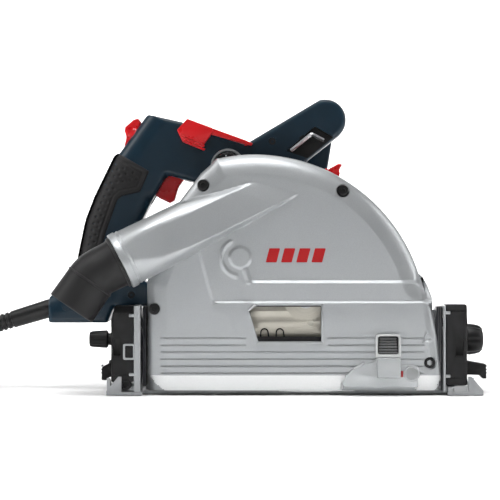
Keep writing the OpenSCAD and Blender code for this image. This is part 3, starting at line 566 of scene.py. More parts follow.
def coil_points():
    """The coil's turns, from the top layer down: each turn keeps one radius, then eases to the next."""
    levels = [(r, 2) for r in COIL_R] + [(r, 1) for r in reversed(COIL_R)] + [(r, 0) for r in COIL_R]
    start, end = 84.0, 248.0
    total = 360*(len(levels) - 1) + end - start
    out = []
    for a in range(0, int(total) - 4, 12):
        turn, into = a//360, a % 360
        r, layer = levels[turn]
        r_next = levels[min(turn + 1, len(levels) - 1)][0]
        r += (r_next - r)*float(smooth_step(into, 130, 330))
        z = CORD_D/2 + 0.1 + COIL_STEP*layer
        if turn:
            z += COIL_STEP*(levels[turn - 1][1] - layer)*(1 - float(smooth_step(into, 0, 130)))
        else:
            r += (FIRST_R - COIL_R[0])*(1 - float(smooth_step(a, 0, 130)))
            z = z + (RUN[-1][2] - z)*(1 - float(smooth_step(a, 100, 260)))
        if turn == len(levels) - 1:
            r += 0.9*float(smooth_step(into, 0, end - start))
        out.append((*polar(COIL_C, r, start + a), z))
    return out[1:]


def smooth_path(points, step):
    """Catmull-Rom through the points, spaced evenly."""
    p = [np.array(q, float) for q in points]
    p = [2*p[0] - p[1]] + p + [2*p[-1] - p[-2]]
    fine = []
    for a, b, c, d in zip(p, p[1:], p[2:], p[3:]):
        for t in np.linspace(0, 1, 8, endpoint=False):
            fine.append(0.5*((2*b) + (c - a)*t + (2*a - 5*b + 4*c - d)*t*t + (3*b - a - 3*c + d)*t**3))
    fine.append(p[-2])
    fine = np.array(fine)
    along = np.concatenate([[0], np.cumsum(np.linalg.norm(np.diff(fine, axis=0), axis=1))])
    places = np.linspace(0, along[-1], int(along[-1]/step) + 1)
    return [tuple(np.interp(places, along, fine[:, k])[i] for k in range(3)) for i in range(len(places))]


def tube_mesh(name, path, radius, mat, n):
    rings = []
    for i, p in enumerate(path):
        across = axes_of(np.array(path[min(i + 1, len(path) - 1)]) - np.array(path[max(i - 1, 0)]))[1:]
        rings.append(ring_at(np.array(p), *across, radius, n))
    return loft(name, rings, mat)


def make_cord():
    path = smooth_path(RUN + coil_points() + TAIL, 6.0)
    flex = tube_mesh("cord", path, CORD_D/2, "cord", 14)
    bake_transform(flex)
    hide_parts("cord_run", "cord_coil")
    return flex, path


def rounded_ring(centre, half_y, half_z, power):
    """A super-ellipse ring across X."""
    ring = []
    for a in np.linspace(0, 2*math.pi, 40, endpoint=False):
        c, s = math.cos(a), math.sin(a)
        ring.append((centre[0], centre[1] + half_y*math.copysign(abs(c)**(2/power), c),
                     centre[2] + half_z*math.copysign(abs(s)**(2/power), s)))
    return ring


def make_plug():
    x, y, z = -348, -14, 10
    stations = [(0, 5.4, 5.4, 2), (1, 6.2, 6.2, 2), (7, 6.6, 6.6, 2), (8, 5.9, 5.9, 2), (9.5, 5.9, 5.9, 2),
                (10.5, 7.2, 7, 2), (15, 8.4, 7.6, 2.2), (18, 11.5, 8.6, 2.6), (22, 15.6, 9.4, 3.2),
                (27, 17.4, 9.8, 3.6), (33, 17.8, 9.9, 3.8), (38, 17.6, 9.8, 3.8), (40.5, 17.2, 9.4, 3.6),
                (41.8, 16, 8.4, 3.2)]
    body = loft("plug_body", [rounded_ring((x + d, y, z), hy, hz, p) for d, hy, hz, p in stations], "cord")
    pins = [turned("plug_pin", (x + 41.5, y + 9.5*side, z), (1, 0, 0),
                   [(0, 2.35), (9, 2.35), (9.2, 1.9), (9.4, 2.4), (18, 2.4), (19, 1.7), (19.4, 0.9)],
                   "brass", 24) for side in (-1, 1)]
    return (put(body, "guard", ["plug"]),
            put_whole("plug_contacts", pins, "guard", ["plug_pins"]))


cord, cord_path = make_cord()
plug_body, plug_contacts = make_plug()

# ---- blade cover ----

COVER_LEFT = [(-137, 4), (-137, 104), (-106, 180), (-87, 205), (-78, 213), (-70, 222)]
COVER_RIGHT = [(120, 107.7), (122.5, 102), (126.6, 90), (126.9, 77), (131.6, 54), (136.2, 8), (136.4, 4)]
FACE_Y, BAND_Y, LOWER_Y, SEAM_Y = -18.0, -20.0, -16.0, 7.4
WALL = 2.3
LOWER_Z = 84.8
BAND_Z = (LOWER_Z, 106.4)
LEDGE_Z = 87.6
# below this height the cover's near faces get the paler silver, a painted reflection of the floor
FOOT_HIGHLIGHT_Z = 18.4
GROOVE_Z = [52.7 - 6.42*i for i in range(6)]
COVER_SCREWS = [(-84.8, 193.9, -13), (44.5, 188.7, -11), (-129.9, 79.5, -12), (124.4, 30, -12)]
SIDE_STEP = ((-89, 134.5), (-76, 86.4))
WINDOW = [(-34.5, 82.8), (24.2, 82.8), (24.2, 49.5), (-33.6, 49.2), (-42.3, 77.9)]
BOSS = (-50.5, 127)


def guard_arc(degrees):
    return [polar(ARC_C, ARC_R, a) for a in degrees]


def cover_top(x):
    """Height of the cover's outline above each x."""
    x = np.asarray(x, float)
    arc = ARC_C[1] + np.sqrt(np.maximum(ARC_R**2 - (x - ARC_C[0])**2, 0))
    left = np.interp(x, [p[0] for p in COVER_LEFT[1:]], [p[1] for p in COVER_LEFT[1:]])
    right = np.interp(x, [p[0] for p in COVER_RIGHT], [p[1] for p in COVER_RIGHT])
    return np.where(x < COVER_LEFT[-1][0], np.minimum(left, arc), np.where(x > 120, right, arc))


def tube_frame(x, z):
    """Distance along the dust tube from its mouth, and across it in the view from the front."""
    unit = np.array((TUBE_V[0], TUBE_V[2]))/math.hypot(TUBE_V[0], TUBE_V[2])
    dx, dz = x - MOUTH[0], z - MOUTH[2]
    return dx*unit[0] + dz*unit[1], -dx*unit[1] + dz*unit[0]


def tube_profile(t, e):
    """Height of the dust tube over the face, from its round mouth to a tilted plane with sloped flanks."""
    reach = 152 + (8.2 - np.clip(e, -20.5, 8.2))*34/28.7
    height = 27.35*np.clip(1 - t/reach, 0, 1)
    upper, lower = e > 0, e <= 0
    outer = np.where(upper, np.interp(t, [0, 74, 152, 186], [25.8, 22.5, 8.2, 0.5]),
                     np.interp(t, [0, 37, 186], [26, 26.2, 20.6]))
    ridge = upper*np.interp(t, [10, 152], [10.8, 8.0])
    ridge += lower*np.interp(t, [10, 60, 96, 186], [9, 17.4, 19.4, 20.2])
    flank = outer - ridge*smooth_step(t, 0, 40)
    a = np.clip((outer - np.abs(e))/np.maximum(flank, 0.4), 0, 1)
    crisp = 0.75*smooth_step(t, 30, 120)
    return height*((1 - crisp)*np.sqrt(1 - (1 - a)**2) + crisp*a)


def tube_rise(x, z):
    t, e = tube_frame(x, z)
    return tube_profile(t, e)*(t > -5)*(t < 186)


def cover_face(x, z):
    """The cover's near surface."""
    pts = np.stack([x, z], 1)
    edge = near_line(pts, [COVER_RIGHT[0]] + guard_arc(np.arange(16, 104, 2.0)) + COVER_LEFT[::-1])
    side = near_line(pts, COVER_RIGHT)
    # the lower wall is sunk behind a bevelled step, and a raised band runs along the step
    (x0, z0), (x1, z1) = SIDE_STEP
    across = ((x - x0)*(z1 - z0) - (z - z0)*(x1 - x0))/math.hypot(x1 - x0, z1 - z0)
    sunk_side = np.clip(across/1.8 + 0.5, 0, 1)*(z < 140)
    sunk_low = np.clip((LOWER_Z + 0.4 - z)/0.8, 0, 1)
    sunk = np.maximum(sunk_side*(x < -60), sunk_low)
    y = FACE_Y + (LOWER_Y - FACE_Y)*sunk
    band = np.clip((z - BAND_Z[0])/0.4, 0, 1)*np.clip((BAND_Z[1] - z)/3.4, 0, 1)
    y = y + (BAND_Y - FACE_Y)*band*smooth_step(x, -50, -36)
    y = y - 1.5*np.clip((LEDGE_Z - z)/2.6, 0, 1)*(z > LOWER_Z)*smooth_step(x, -78, -72)
    # tab at the band's end, boss and the crescent round it
    tab = near_line(pts, [(-45.6, 115.5), (-42.4, 105)])
    y = y - 1.3*np.clip((2.6 - tab)/1.0, 0, 1)
    r = np.hypot(x - BOSS[0], z - BOSS[1])
    y = y - 0.9*np.clip((10.2 - r)/0.9, 0, 1)
    angle = np.degrees(np.arctan2(z - BOSS[1], x - BOSS[0])) % 360
    y = y - 1.2*np.clip((1.9 - np.abs(r - 17.2))/0.9, 0, 1)*((angle > 118) & (angle < 262))
    # grooves of the lower wall
    for i, zg in enumerate(GROOVE_Z):
        stretches = [(-123, -46), (31, 118)] if i < 2 else [(-123, 118)]
        for x0, x1 in stretches:
            along = np.clip(np.minimum(x - x0, x1 - x)/1.5 + 0.5, 0, 1)
            y = y + 1.1*np.clip((0.9 - np.abs(z - zg))/0.55, 0, 1)*along
            y = y - 0.25*np.clip((0.7 - np.abs(z - zg + 1.3))/0.5, 0, 1)*along
    # arrow that shows the blade's direction
    arrow = near_line(pts, [(124, 37), (122.4, 50)])
    y = y - 0.9*np.clip((1.5 - arrow)/0.6, 0, 1)
    tip, left, right = (121.4, 58.5), (118.4, 49.5), (126.2, 50.5)
    for line in ([tip, left], [tip, right], [left, right]):
        y = y - 0.8*np.clip((0.9 - near_line(pts, line))/0.5, 0, 1)
    # bevelled foot, cut back behind the splinter guard
    foot = np.clip((19 - z)/15, 0, 1)
    y = y + 7.6*foot
    behind = np.clip((x - 43)/1.5, 0, 1)*np.clip((113 - x)/1.5, 0, 1)*np.clip((12.5 - z)/1.5, 0, 1)
    y = y + (-7.5 - y)*behind*(y < -7.5)
    # domed rims
    for dist, width, fall in ((edge, 19.0, 9.0), (side, 9.0, 4.5)):
        t = np.clip(1 - dist/width, 0, 1)
        y = y + 4*t*(width/19.0) + fall*(1 - np.sqrt(1 - t*t))
    rise = tube_rise(x, z)
    return np.minimum(y, np.where(rise > 0.05, FACE_Y - rise + 2.2*np.clip(1 - rise/5, 0, 1), 99))


def cover_grid():
    """Columns of (x, z) points over the cover's outline, close together at its steps and grooves."""
    xs = np.unique(np.round(np.concatenate([np.arange(-137, 136.5, 1.15), [136.4, 120, -70],
                                            [p[0] for p in COVER_LEFT]]), 3))
    low = sorted(set([4, 5.2, 6.4] + list(np.round(np.arange(7.6, 108.1, 1.2), 3))
                     + [round(zg + d, 3) for zg in GROOVE_Z for d in (-0.9, -0.35, 0, 0.35, 0.9)]
                     + [LOWER_Z - 0.4, LOWER_Z, LOWER_Z + 0.4, 86.3, LEDGE_Z, 103.0, 104.7, BAND_Z[1]]))
    low = np.array([z for i, z in enumerate(low) if i == 0 or z - low[i - 1] > 0.12])
    top = cover_top(xs)
    grid = np.zeros((len(xs), len(low) + 96, 2))
    for i, (x, z1) in enumerate(zip(xs, top)):
        upper = np.linspace(max(min(108.0, z1), low[-1] if z1 > low[-1] else z1), z1, 97)[1:]
        grid[i, :, 0] = x
        grid[i, :, 1] = np.concatenate([np.minimum(low, z1), upper])
    return grid


def cover_shell():
    """The cover's near surface and its side walls, without thickness."""
    grid = cover_grid()
    columns, rows = grid.shape[:2]
    flat = grid.reshape(-1, 2)
    verts = [(x, y, z) for (x, z), y in zip(flat, cover_face(flat[:, 0], flat[:, 1]))]
    faces = []
    for i in range(columns - 1):
        for j in range(rows - 1):
            quad = (i*rows + j, (i + 1)*rows + j, (i + 1)*rows + j + 1, i*rows + j + 1)
            if abs(flat[quad[0]][1] - flat[quad[3]][1]) + abs(flat[quad[1]][1] - flat[quad[2]][1]) > 1e-6:
                faces.append(quad)
    # side walls back to the joint with the housing
    rim = list(range(rows)) + [i*rows + rows - 1 for i in range(1, columns)]
    rim += [(columns - 1)*rows + j for j in range(rows - 2, -1, -1)]
    base = len(verts)
    for v in rim:
        x, y0, z = verts[v]
        verts += [(x, y0 + (SEAM_Y - y0)*share, z) for share in (0.45, 1.0)]
    for k in range(len(rim) - 1):
        a, b = rim[k], rim[k + 1]
        if math.dist(verts[a], verts[b]) < 1e-6:
            continue
        faces.append((a, b, base + 2*(k + 1), base + 2*k))
        faces.append((base + 2*k, base + 2*(k + 1), base + 2*(k + 1) + 1, base + 2*k + 1))
    return mesh_from("blade_cover_shell", verts, faces, "silver")


def make_cover():
    """The blade cover with its wall's thickness, window and screw seats, and its foot's faces in a paler
    silver as a painted reflection of the floor.
    """
    cover = cover_shell()
    if cover.data.polygons[len(cover.data.polygons)//3].normal.y > 0:
        cover.data.flip_normals()
    modify(cover, "SOLIDIFY", thickness=WALL*MM, offset=-1, use_even_offset=False)
    apply_all(cover)
    tools = [plate("window_tool", fillet(WINDOW, 1.2), -30, 6, 0.01)]
    for x, z, seat in COVER_SCREWS:
        tools.append(turned("seat_tool", (x, -32, z), (0, 1, 0), [(0, 6.3), (32 + seat, 6.3)], n=40))
    cut(cover, tools)
    cover.data.materials.append(MATS["painted_highlight_silver"])
    # painted reflection of the white floor: the foot's near faces take the paler silver
    for face in cover.data.polygons:
        if face.center.z < FOOT_HIGHLIGHT_Z*MM and face.center.y < -8*MM:
            face.material_index = 1
    put(soften(cover, 40), "guard", ["blade_cover"])


def window_frame():
    """Bevelled lips round the window, with a bevelled corner piece whose paler silver is a painted highlight,
    and black strips behind it as painted shade along the window's bottom, top and left.
    """
    lips = [[(26.6, 84.6), (26.6, 48.2), (24.2, 49.6), (24.2, 82.6)],
            [(-35.6, 47.4), (26.4, 47.6), (24.2, 49.8), (-33.4, 49.6)]]
    pieces = [plate("lip", lip, -17.2, -14, 0.5, "silver", segments=2) for lip in lips]
    corner = fillet([(-43.8, 78.2), (-42.4, 77.6), (-35.6, 83.2), (-37.4, 84.4)], 0.3)
    # the corner piece's paler silver is a painted highlight
    pieces.append(plate("lip_corner", corner, -17.9, -14.4, 0.5, "painted_highlight_silver", segments=2))
    put_whole("window_frame", pieces, "guard")
    # black strips behind the window: painted shade along its bottom, top and left edge
    shade_strips = [block("shade_sill", (-37, -13.4, 44), (27, -12.2, 54.2), "black", 0.3),
             block("shade_top", (-37, -13, 81.6), (27, -12.2, 84), "black", 0.3),
             block("shade_side", (-45, -9, 46), (-41.2, -8, 92), "black", 0.3)]
    put_whole("window_painted_shade", shade_strips, "guard")


def side_bars():
    """Plain slanted bars where a name plate would be."""
    pieces = []
    for x0 in (-27, -13, 1, 15):
        outline = [(x0, 122.6), (x0 + 10, 122.6), (x0 + 13.4, 135.6), (x0 + 3.4, 135.6)]
        pieces.append(plate("bar", fillet(outline, 0.8, 4), -18.5, -17.6, 0.3, "red_print"))
    put_whole("cover_bars", pieces, "guard")


def dust_tube():
    """Collar at the tube's mouth, and the free part of the tube behind it."""
    collar = turned("tube_collar", MOUTH, TUBE_V,
                    [(16, 23.6), (0, 23.6), (0, 26.2), (0.5, 26.9), (6.0, 27.0), (6.6, 26.6), (7.0, 26.0),
                     (8.0, 25.9), (8.6, 26.3), (9.6, 26.5), (10.4, 26.0), (13, 25.0)], "silver", 96)
    unit = np.array((TUBE_V[0], TUBE_V[2]))/math.hypot(TUBE_V[0], TUBE_V[2])
    rings = []
    for along in np.arange(8.0, 78, 2.0):
        middle = MOUTH[1] + along*TUBE_V[1]/math.hypot(TUBE_V[0], TUBE_V[2])
        ring = []
        for a in np.linspace(0, 2*math.pi, 120, endpoint=False):
            r = 26.3 - 0.034*along
            e = math.cos(a)*(min(r, 25.8) if a < math.pi else r)
            if a < math.pi:
                y = middle + math.sin(a)*r
                if along > 62:
                    y = min(y, SEAM_Y - 0.6)
            else:
                y = FACE_Y - float(tube_profile(np.array(along), np.array(e*0.999)))
                y = min(y + 0.1*(along > 62), middle)
            ring.append((MOUTH[0] + along*unit[0] - e*unit[1], y, MOUTH[2] + along*unit[1] + e*unit[0]))
        rings.append(ring)
    free = loft("tube_free", rings, "silver")
    put_whole("dust_tube", [collar, free], "guard", ["port_ring"])


def seam_shade_strip():
    """Black strip along the parting line between the cover and the housing: painted shade of the gap."""
    line = COVER_LEFT[1:] + guard_arc(np.arange(102, 16, -2.0)) + COVER_RIGHT
    back = SEAM_Y + 0.9
    verts = [(p[0], y, p[1]) for p_out, p_in in zip(*beside(line, 0.7, 1.6)) for p, y in
             ((p_out, SEAM_Y), (p_out, back), (p_in, back), (p_in, SEAM_Y))]
    faces = [(4*i + k, 4*i + (k + 1) % 4, 4*i + 4 + (k + 1) % 4, 4*i + 4 + k)
             for i in range(len(line) - 1) for k in range(4)]
    n = 4*(len(line) - 1)
    faces += [(3, 2, 1, 0), (n, n + 1, n + 2, n + 3)]
    put(mesh_from("seam_shade_strip", verts, faces, "black"), "guard")


def socket_screw(name, place, direction, r, h, mat, socket=0.5):
    """A round-headed screw with a hexagon socket, its head rising along direction."""
    def hexagon(a):
        return 1/math.cos((a + math.pi/6) % (math.pi/3) - math.pi/6)

    t, s, u = axes_of(direction)
    place = np.array(place, float)
    rings = [ring_at(place + t*along, s, u, radius, 36)
             for along, radius in ((0, r), (h*0.72, r), (h*0.93, r*0.93), (h, r*0.84))]
    rings += [ring_at(place + t*along, s, u, r*socket*0.87, 36, hexagon) for along in (h, h*0.25)]
    return loft(name, rings, mat)


def cover_screw_heads():
    pieces = []
    for x, z, seat in COVER_SCREWS:
        pieces.append(turned("socket_floor", (x, seat + 1.2, z), (0, -1, 0),
                             [(0, 4.3), (1.2, 4.3), (1.3, 4.0)], "black", 24))
        pieces.append(socket_screw("cover_screw", (x, seat + 1.5, z), (0, -1, 0), 5.3, 3.9, "black"))
    put_whole("cover_screw_heads", pieces, "guard", ["cover_screws"])


make_cover()
window_frame()
side_bars()
dust_tube()
seam_shade_strip()
cover_screw_heads()

# ---- dust elbow ----

def elbow():
    """Rubber elbow: a straight neck, a 28 degree bend and a slightly flared outlet."""
    d1 = -TUBE_V/np.linalg.norm(TUBE_V)
    d2 = np.array((-0.5654, -0.0751, -0.8214))
    d2 /= np.linalg.norm(d2)
    side = np.cross(d1, d2)
    side /= np.linalg.norm(side)
    bend = math.acos(float(d1 @ d2))
    inward = np.cross(side, d1)
    neck, bend_r = 19.5, 26

    def rings_along(start, direction, profile):
        up = np.cross(side, direction)
        return [ring_at(start + direction*along, side, up, r, 72) for along, r in profile]

    rings = rings_along(MOUTH, d1, [(-14, 21.9), (0.4, 22.0), (0.6, 24.6), (2.6, 24.6), (3.2, 23.2),
                                    (4.6, 22.6), (12, 22.3), (neck, 22.2)])
    for k in range(1, 9):
        a = bend*k/8
        centre = MOUTH + d1*neck + bend_r*(math.sin(a)*d1 + (1 - math.cos(a))*inward)
        rings += rings_along(centre, math.cos(a)*d1 + math.sin(a)*inward, [(0, 22.2 + 0.3*k/8)])
    rings += rings_along(centre, d2, [(0.3, 22.5), (0.7, 23.3), (1.9, 23.3), (2.3, 22.6), (14, 22.8),
                                      (28.6, 23.1), (29.4, 23.25), (30.6, 23.0), (31, 22.4), (31, 19.8),
                                      (30.4, 19.1), (20, 19), (2, 18.8)])
    put(loft("elbow_shell", rings, "rubber"), "elbow", ["dust_elbow"])


elbow()

# ---- handle ----

HANDLE_Y = (43.0, 81.0)
SPLIT_Y = 62.0
REAR_EDGE = [(-235, 90), (-214, 98), (-207, 112), (-205.5, 130), (-198.7, 162.3), (-190, 184.7),
             (-171, 223.6), (-167, 227.8), (-140.6, 264.6)]
HANDLE_EDGE = ([(-235, 64, 3), (-235, 90, 6), (-214, 98, 6), (-207, 112, 4), (-205.5, 130, 30),
                (-198.7, 162.3, 60), (-190, 184.7, 60), (-171, 223.6, 0.8), (-167, 227.8, 0.8),
                (-140.6, 264.6, 4), (-107.7, 257.2, 5), (-45.3, 236, 9)]
               + circle_pts(GRIP_END, 20.1, 24, 105.5, -58.7)
               + [(13.8, 220, 3), (8, 200, 12), (24, 148, 4), (24, 130, 3), (-38, 92, 5), (-60, 84, 12),
                  (-138, 80), (-172, 79, 5), (-178, 64, 2)])
GRIP_HOLE = [(-121, 206), (-92, 198), (-74, 180), (-66, 150), (-66, 118), (-86, 103), (-138, 101),
             (-151, 112), (-152, 135), (-146, 160), (-136, 180)]
TRIGGER_ROOM = [(-150, 180), (-134, 178), (-118, 174), (-98, 200), (-100, 214), (-121, 216), (-148, 206)]
KEY_BAY = [(20.6, 252.4), (38.6, 242.3), (13.8, 222), (-6.8, 228.8)]
OVERMOULD = [(-208.4, 112.5), (-206.9, 130.2, 30), (-200, 162.8, 60), (-191.3, 185.4, 60), (-172.4, 224.3, 1),
             (-168.6, 227.4, 1), (-137.9, 209.6, 1.5), (-146.6, 189.6, 2), (-163.5, 186.0, 3),
             (-168.5, 182.0, 4), (-179.0, 152, 10), (-186, 126, 10), (-188, 112.5)]
PANEL_EDGE = [(-168.6, 227.4), (-137.9, 209.6), (-146.6, 189.6), (-163.5, 186.0), (-168.5, 182.0),
              (-179.0, 152), (-186, 126), (-188, 112.5)]
PANEL = [(-168, 221.5), (-144.2, 208.0), (-150.4, 194.6), (-167, 191.4), (-172.6, 186), (-184.2, 153),
         (-191.4, 127), (-193.4, 108)]
LOCK_HOOK = [(-149, 240, 1), (-146.5, 257.5, 1.5), (-149.5, 261.2, 1.5), (-154, 259.8, 3), (-162, 252.8, 1.5),
             (-162.6, 249, 2), (-160.8, 243, 8), (-163.2, 233, 1.5), (-158, 232, 1)]
LOCK_AT, LOCK_LEAN = np.array((-154, 62, 246.5)), math.radians(-54.4)
LOCK_AXIS = np.array((math.sin(LOCK_LEAN), 0, math.cos(LOCK_LEAN)))
SCREWS_HANDLE = [(-218, 80), (-196, 92), (-155, 91), (-88, 92), (-20, 238)]


def handle_round(points):
    """How much of the handle's half width is left at each point: less near the rounded edges."""
    rear = near_line(points, REAR_EDGE)
    hole = near_line(points, GRIP_HOLE[-4:])
    rim = np.minimum(near_line(points, closed([p[:2] for p in HANDLE_EDGE])),
                     near_line(points, closed(GRIP_HOLE)))
    left = np.ones(len(points))
    for dist, reach, keep in ((rear, 22, 0.30), (hole, 12, 0.5), (rim, 4.5, 0.80)):
        t = 1 - np.clip(dist/reach, 0, 1)
        left = np.minimum(left, keep + (1 - keep)*np.sqrt(1 - t*t))
    return left


def remesh(obj, size, smooth):
    modify(obj, "REMESH", mode="VOXEL", voxel_size=size*MM)
    modify(obj, "SMOOTH", factor=0.5, iterations=smooth)
    apply_all(obj)


def coords_of(obj):
    flat = np.empty(len(obj.data.vertices)*3)
    obj.data.vertices.foreach_get("co", flat)
    return flat.reshape(-1, 3)/MM


def set_coords(obj, coords):
    obj.data.vertices.foreach_set("co", (np.asarray(coords)*MM).ravel())
    obj.data.update()


def lock_room():
    """The lock button's hook outline over its whole travel."""
    push = np.array((0.813, -0.582))*5.4
    swept = [tuple(np.array(p[:2]) + push) for p in LOCK_HOOK]
    return plate("lock_room", swept, 54.0, 70.0, 0.02)


def trigger_tool():
    return plate("trigger_tool", TRIGGER_ROOM, 53.4, 70.6, 0.3)


def handle_half(name, y0, y1, node):
    """A half rounded towards its edges, with room for the motor, trigger and lock button."""
    half = plate(name, [fillet(HANDLE_EDGE), fillet(GRIP_HOLE, 6)], y0, y1, 0.4, "petrol")
    remesh(half, 1.5, 2)
    co = coords_of(half)
    co[:, 1] = SPLIT_Y + (co[:, 1] - SPLIT_Y)*handle_round(co[:, [0, 2]])
    set_coords(half, co)
    tools = [turned("motor_tool", (MOTOR[0], 40, MOTOR[1]), (0, 1, 0), [(0, 39.95), (60, 39.95)], n=96),
             trigger_tool(),
             turned("lock_tool", LOCK_AT - LOCK_AXIS*20, LOCK_AXIS, [(0, 9.4), (60, 9.4)], n=40),
             lock_room()]
    if y0 < SPLIT_Y:
        tools.append(plate("bay_tool", KEY_BAY, 38, 45.6, 0.2))
        tools += [turned("seat_tool", (x, 38, z), (0, 1, 0), [(0, 3.9), (6.2, 3.9)], n=28)
                  for x, z in SCREWS_HANDLE]
    cut(half, tools)
    put(soften(half, 42), "motor_unit", [node])


def grip_overmould():
    """Soft layer over the grip: sunk along its panel line and front edge, with dimples near the rear."""
    thick = 1.25
    grip = plate("grip_overmould", fillet(OVERMOULD), HANDLE_Y[0] - thick, HANDLE_Y[1] + thick, 0.5, "rubber")
    remesh(grip, 0.75, 3)
    co = coords_of(grip)
    flat = co[:, [0, 2]]
    sunk = 0.75*np.clip((1.3 - near_line(flat, PANEL))/0.8, 0, 1)
    front = near_line(flat, PANEL_EDGE)
    sunk += 0.9*(1 - np.sqrt(1 - np.clip(1 - front/1.6, 0, 1)**2))
    # dimples in staggered rows beside the rear edge
    rear = np.array(REAR_EDGE[2:7], float)
    run = np.concatenate([[0], np.cumsum(np.linalg.norm(np.diff(rear, axis=0), axis=1))])
    panel = closed([(-206, 108), (-173, 224)] + PANEL)
    for j, e in enumerate((3.4, 8.0, 12.6, 17.6, 23.0, 28.6)):
        for s in np.arange(4 + 3.6*(j % 2), run[-1] - 3, 7.2):
            p = np.array([np.interp(s, run, rear[:, k]) for k in (0, 1)])
            q = np.array([np.interp(s + 1, run, rear[:, k]) for k in (0, 1)])
            d = (q - p)/np.linalg.norm(q - p)
            c = p + e*np.array((d[1], -d[0]))
            if near_line([c], PANEL)[0] > 2.4 and inside(c, panel):
                r = np.hypot(flat[:, 0] - c[0], flat[:, 1] - c[1])
                sunk += 1.15*np.clip(1 - (r/1.7)**2, 0, 1)
    half_w = (HANDLE_Y[1] - HANDLE_Y[0])/2
    out = np.abs(co[:, 1] - SPLIT_Y) > half_w*0.8
    share = handle_round(flat) - np.where(out, sunk/half_w, 0)
    co[:, 1] = SPLIT_Y + (co[:, 1] - SPLIT_Y)*share
    set_coords(grip, co)
    cut(grip, [trigger_tool()])
    put(soften(grip, 50), "motor_unit", ["handle_grip"])


def handle_trim():
    """Black plate on the key bay's floor as painted shade in the recess, hexagon key and housing screws."""
    # black plate on the bay's floor: painted shade inside the recess
    put(plate("key_bay_shade", fillet(KEY_BAY, 0.6), 45.2, 46.2, 0.2, "black"), "motor_unit")
    clip = fillet([(5.5, 241.5), (9.5, 244.6), (12, 241.6), (8, 238.4)], 0.5)
    put(plate("key_clip", clip, 42.9, 46, 0.4, "black"), "motor_unit")
    path = [(-2.2, 229.2), (6, 235.8), (14.6, 242.8), (16.8, 244.5), (18.4, 244.6), (20, 243.9),
            (24.5, 241.5), (29.2, 239)]
    key = tube_mesh("hex_key_rod", [(x, 42.7, z) for x, z in path], 1.9, "steel", 6)
    key.data.shade_flat()
    put(key, "motor_unit", ["hex_key"])
    screws = []
    for x, z in SCREWS_HANDLE:
        y = SPLIT_Y - (SPLIT_Y - HANDLE_Y[0])*float(handle_round([(x, z)])[0])
        screws.append(socket_screw("housing_screw", (x, max(y + 2.2, 44.5), z), (0, -1, 0), 3.1, 1.6,
                                   "dark_casting"))
    put_whole("housing_screws", screws, "motor_unit", ["handle_screws"])


def trigger_piece():
    outline = [(-126, 208), (-104, 205, 2), (-105, 202, 1), (-110, 195, 8), (-112.6, 187, 8),
               (-114.2, 181.3, 2.5), (-118.9, 179.2, 2), (-128.5, 183.7, 2), (-137, 190, 1), (-137, 203, 1)]
    put(plate("trigger_lever", fillet(outline, 0.5), 54.2, 69.8, 2.2, "red", segments=5),
        "trigger", ["trigger"])


def lock_piece():
    pad = plate("lock_pad", fillet(LOCK_HOOK, 1), 54.5, 69.5, 1.8, "red", segments=4)
    stem = turned("lock_stem", LOCK_AT - LOCK_AXIS*12, LOCK_AXIS, [(0, 8.2), (1, 9), (14, 9), (15, 8.4)],
                  "red", 40)
    put_whole("lock_button_cap", [pad, stem], "lock_button", ["lock_button"])


def mode_lever_piece():
    """Lever along the handle's top: a ridged cap, a strip and the web and pin at its pivot."""
    cap = [(-111.1, 248.6, 1.2), (-101.4, 259.4, 1.5), (-77.0, 250.5, 1.5), (-76.6, 246.4, 1.5),
           (-87.3, 232.1, 1.2), (-105.9, 237.4, 1.2)]
    strip = [(-84, 250.6, 1), (-76.4, 250.2, 2), (-46, 239.2, 3), (-38.6, 235.8, 0.6), (-40, 233.6, 1),
             (-48, 235.4, 3), (-80, 244.8, 1)]
    pieces = [plate("lever_cap", fillet(cap, 1), 36.2, 42.4, 0.9, "red", segments=2),
              plate("lever_strip", fillet(strip, 1), 39.2, 42.4, 0.7, "red", segments=2)]
    # three ridges across the cap
    along = np.array((24.4, -8.9))/math.hypot(24.4, 8.9)
    for i in range(3):
        start = np.array((-108.2, 245.6)) + np.array((2.4, -4.4))*i*0.86
        end = start + along*(24.8 - 1.6*i)
        ridge = fillet([start, end, end - np.array((1.2, 2.1)), start + np.array((0.9, -2.1))], 0.4)
        pieces.append(plate("ridge", ridge, 35.0, 36.8, 0.6, "red"))
    pieces.append(turned("lever_pin", (-42, 43.2, 231), (0, 1, 0), [(0, 3), (7, 3)], "red", 24))
    web = fillet([(-47, 236), (-39, 234.5), (-38.5, 229), (-45, 228.5)], 1)
    pieces.append(plate("lever_web", web, 43.6, 45, 0.2, "red"))
    put_whole("mode_lever_bar", pieces, "mode_lever", ["mode_lever"])


def dial_piece():
    """Notched speed dial with six round marks, and its silver ring."""
    x, z = centre = (-62.7, 214.8)

    def notches(a, along):
        return 1 - (0.045 if 0 < along < 5 and math.cos(18*a) > 0.2 else 0)

    pieces = [turned("dial_wheel", (x, 42.8, z), (0, -1, 0),
                     [(-6, 4), (-5.9, 4), (0, 4), (0.05, 12.9), (3.6, 12.9), (4.6, 12.2), (5.2, 11)],
                     "black", 144, notches)]
    for k in range(6):
        mark = circle_pts(polar(centre, 9.4, 60 + 40*k), 0.75, 16)
        pieces.append(plate("mark", mark, 37.3, 37.9, 0.15, "white_print"))
    put_whole("dial_knob", pieces, "speed_dial", ["speed_dial"])
    ring = turned("dial_ring", (x, 43.1, z), (0, -1, 0),
                  [(0, 13.5), (0.05, 16.2), (1.6, 16.2), (2.4, 15.7), (2.5, 14.3), (1.8, 13.5), (0.1, 13.5)],
                  "silver", 96)
    put(ring, "motor_unit", ["dial_bezel"])


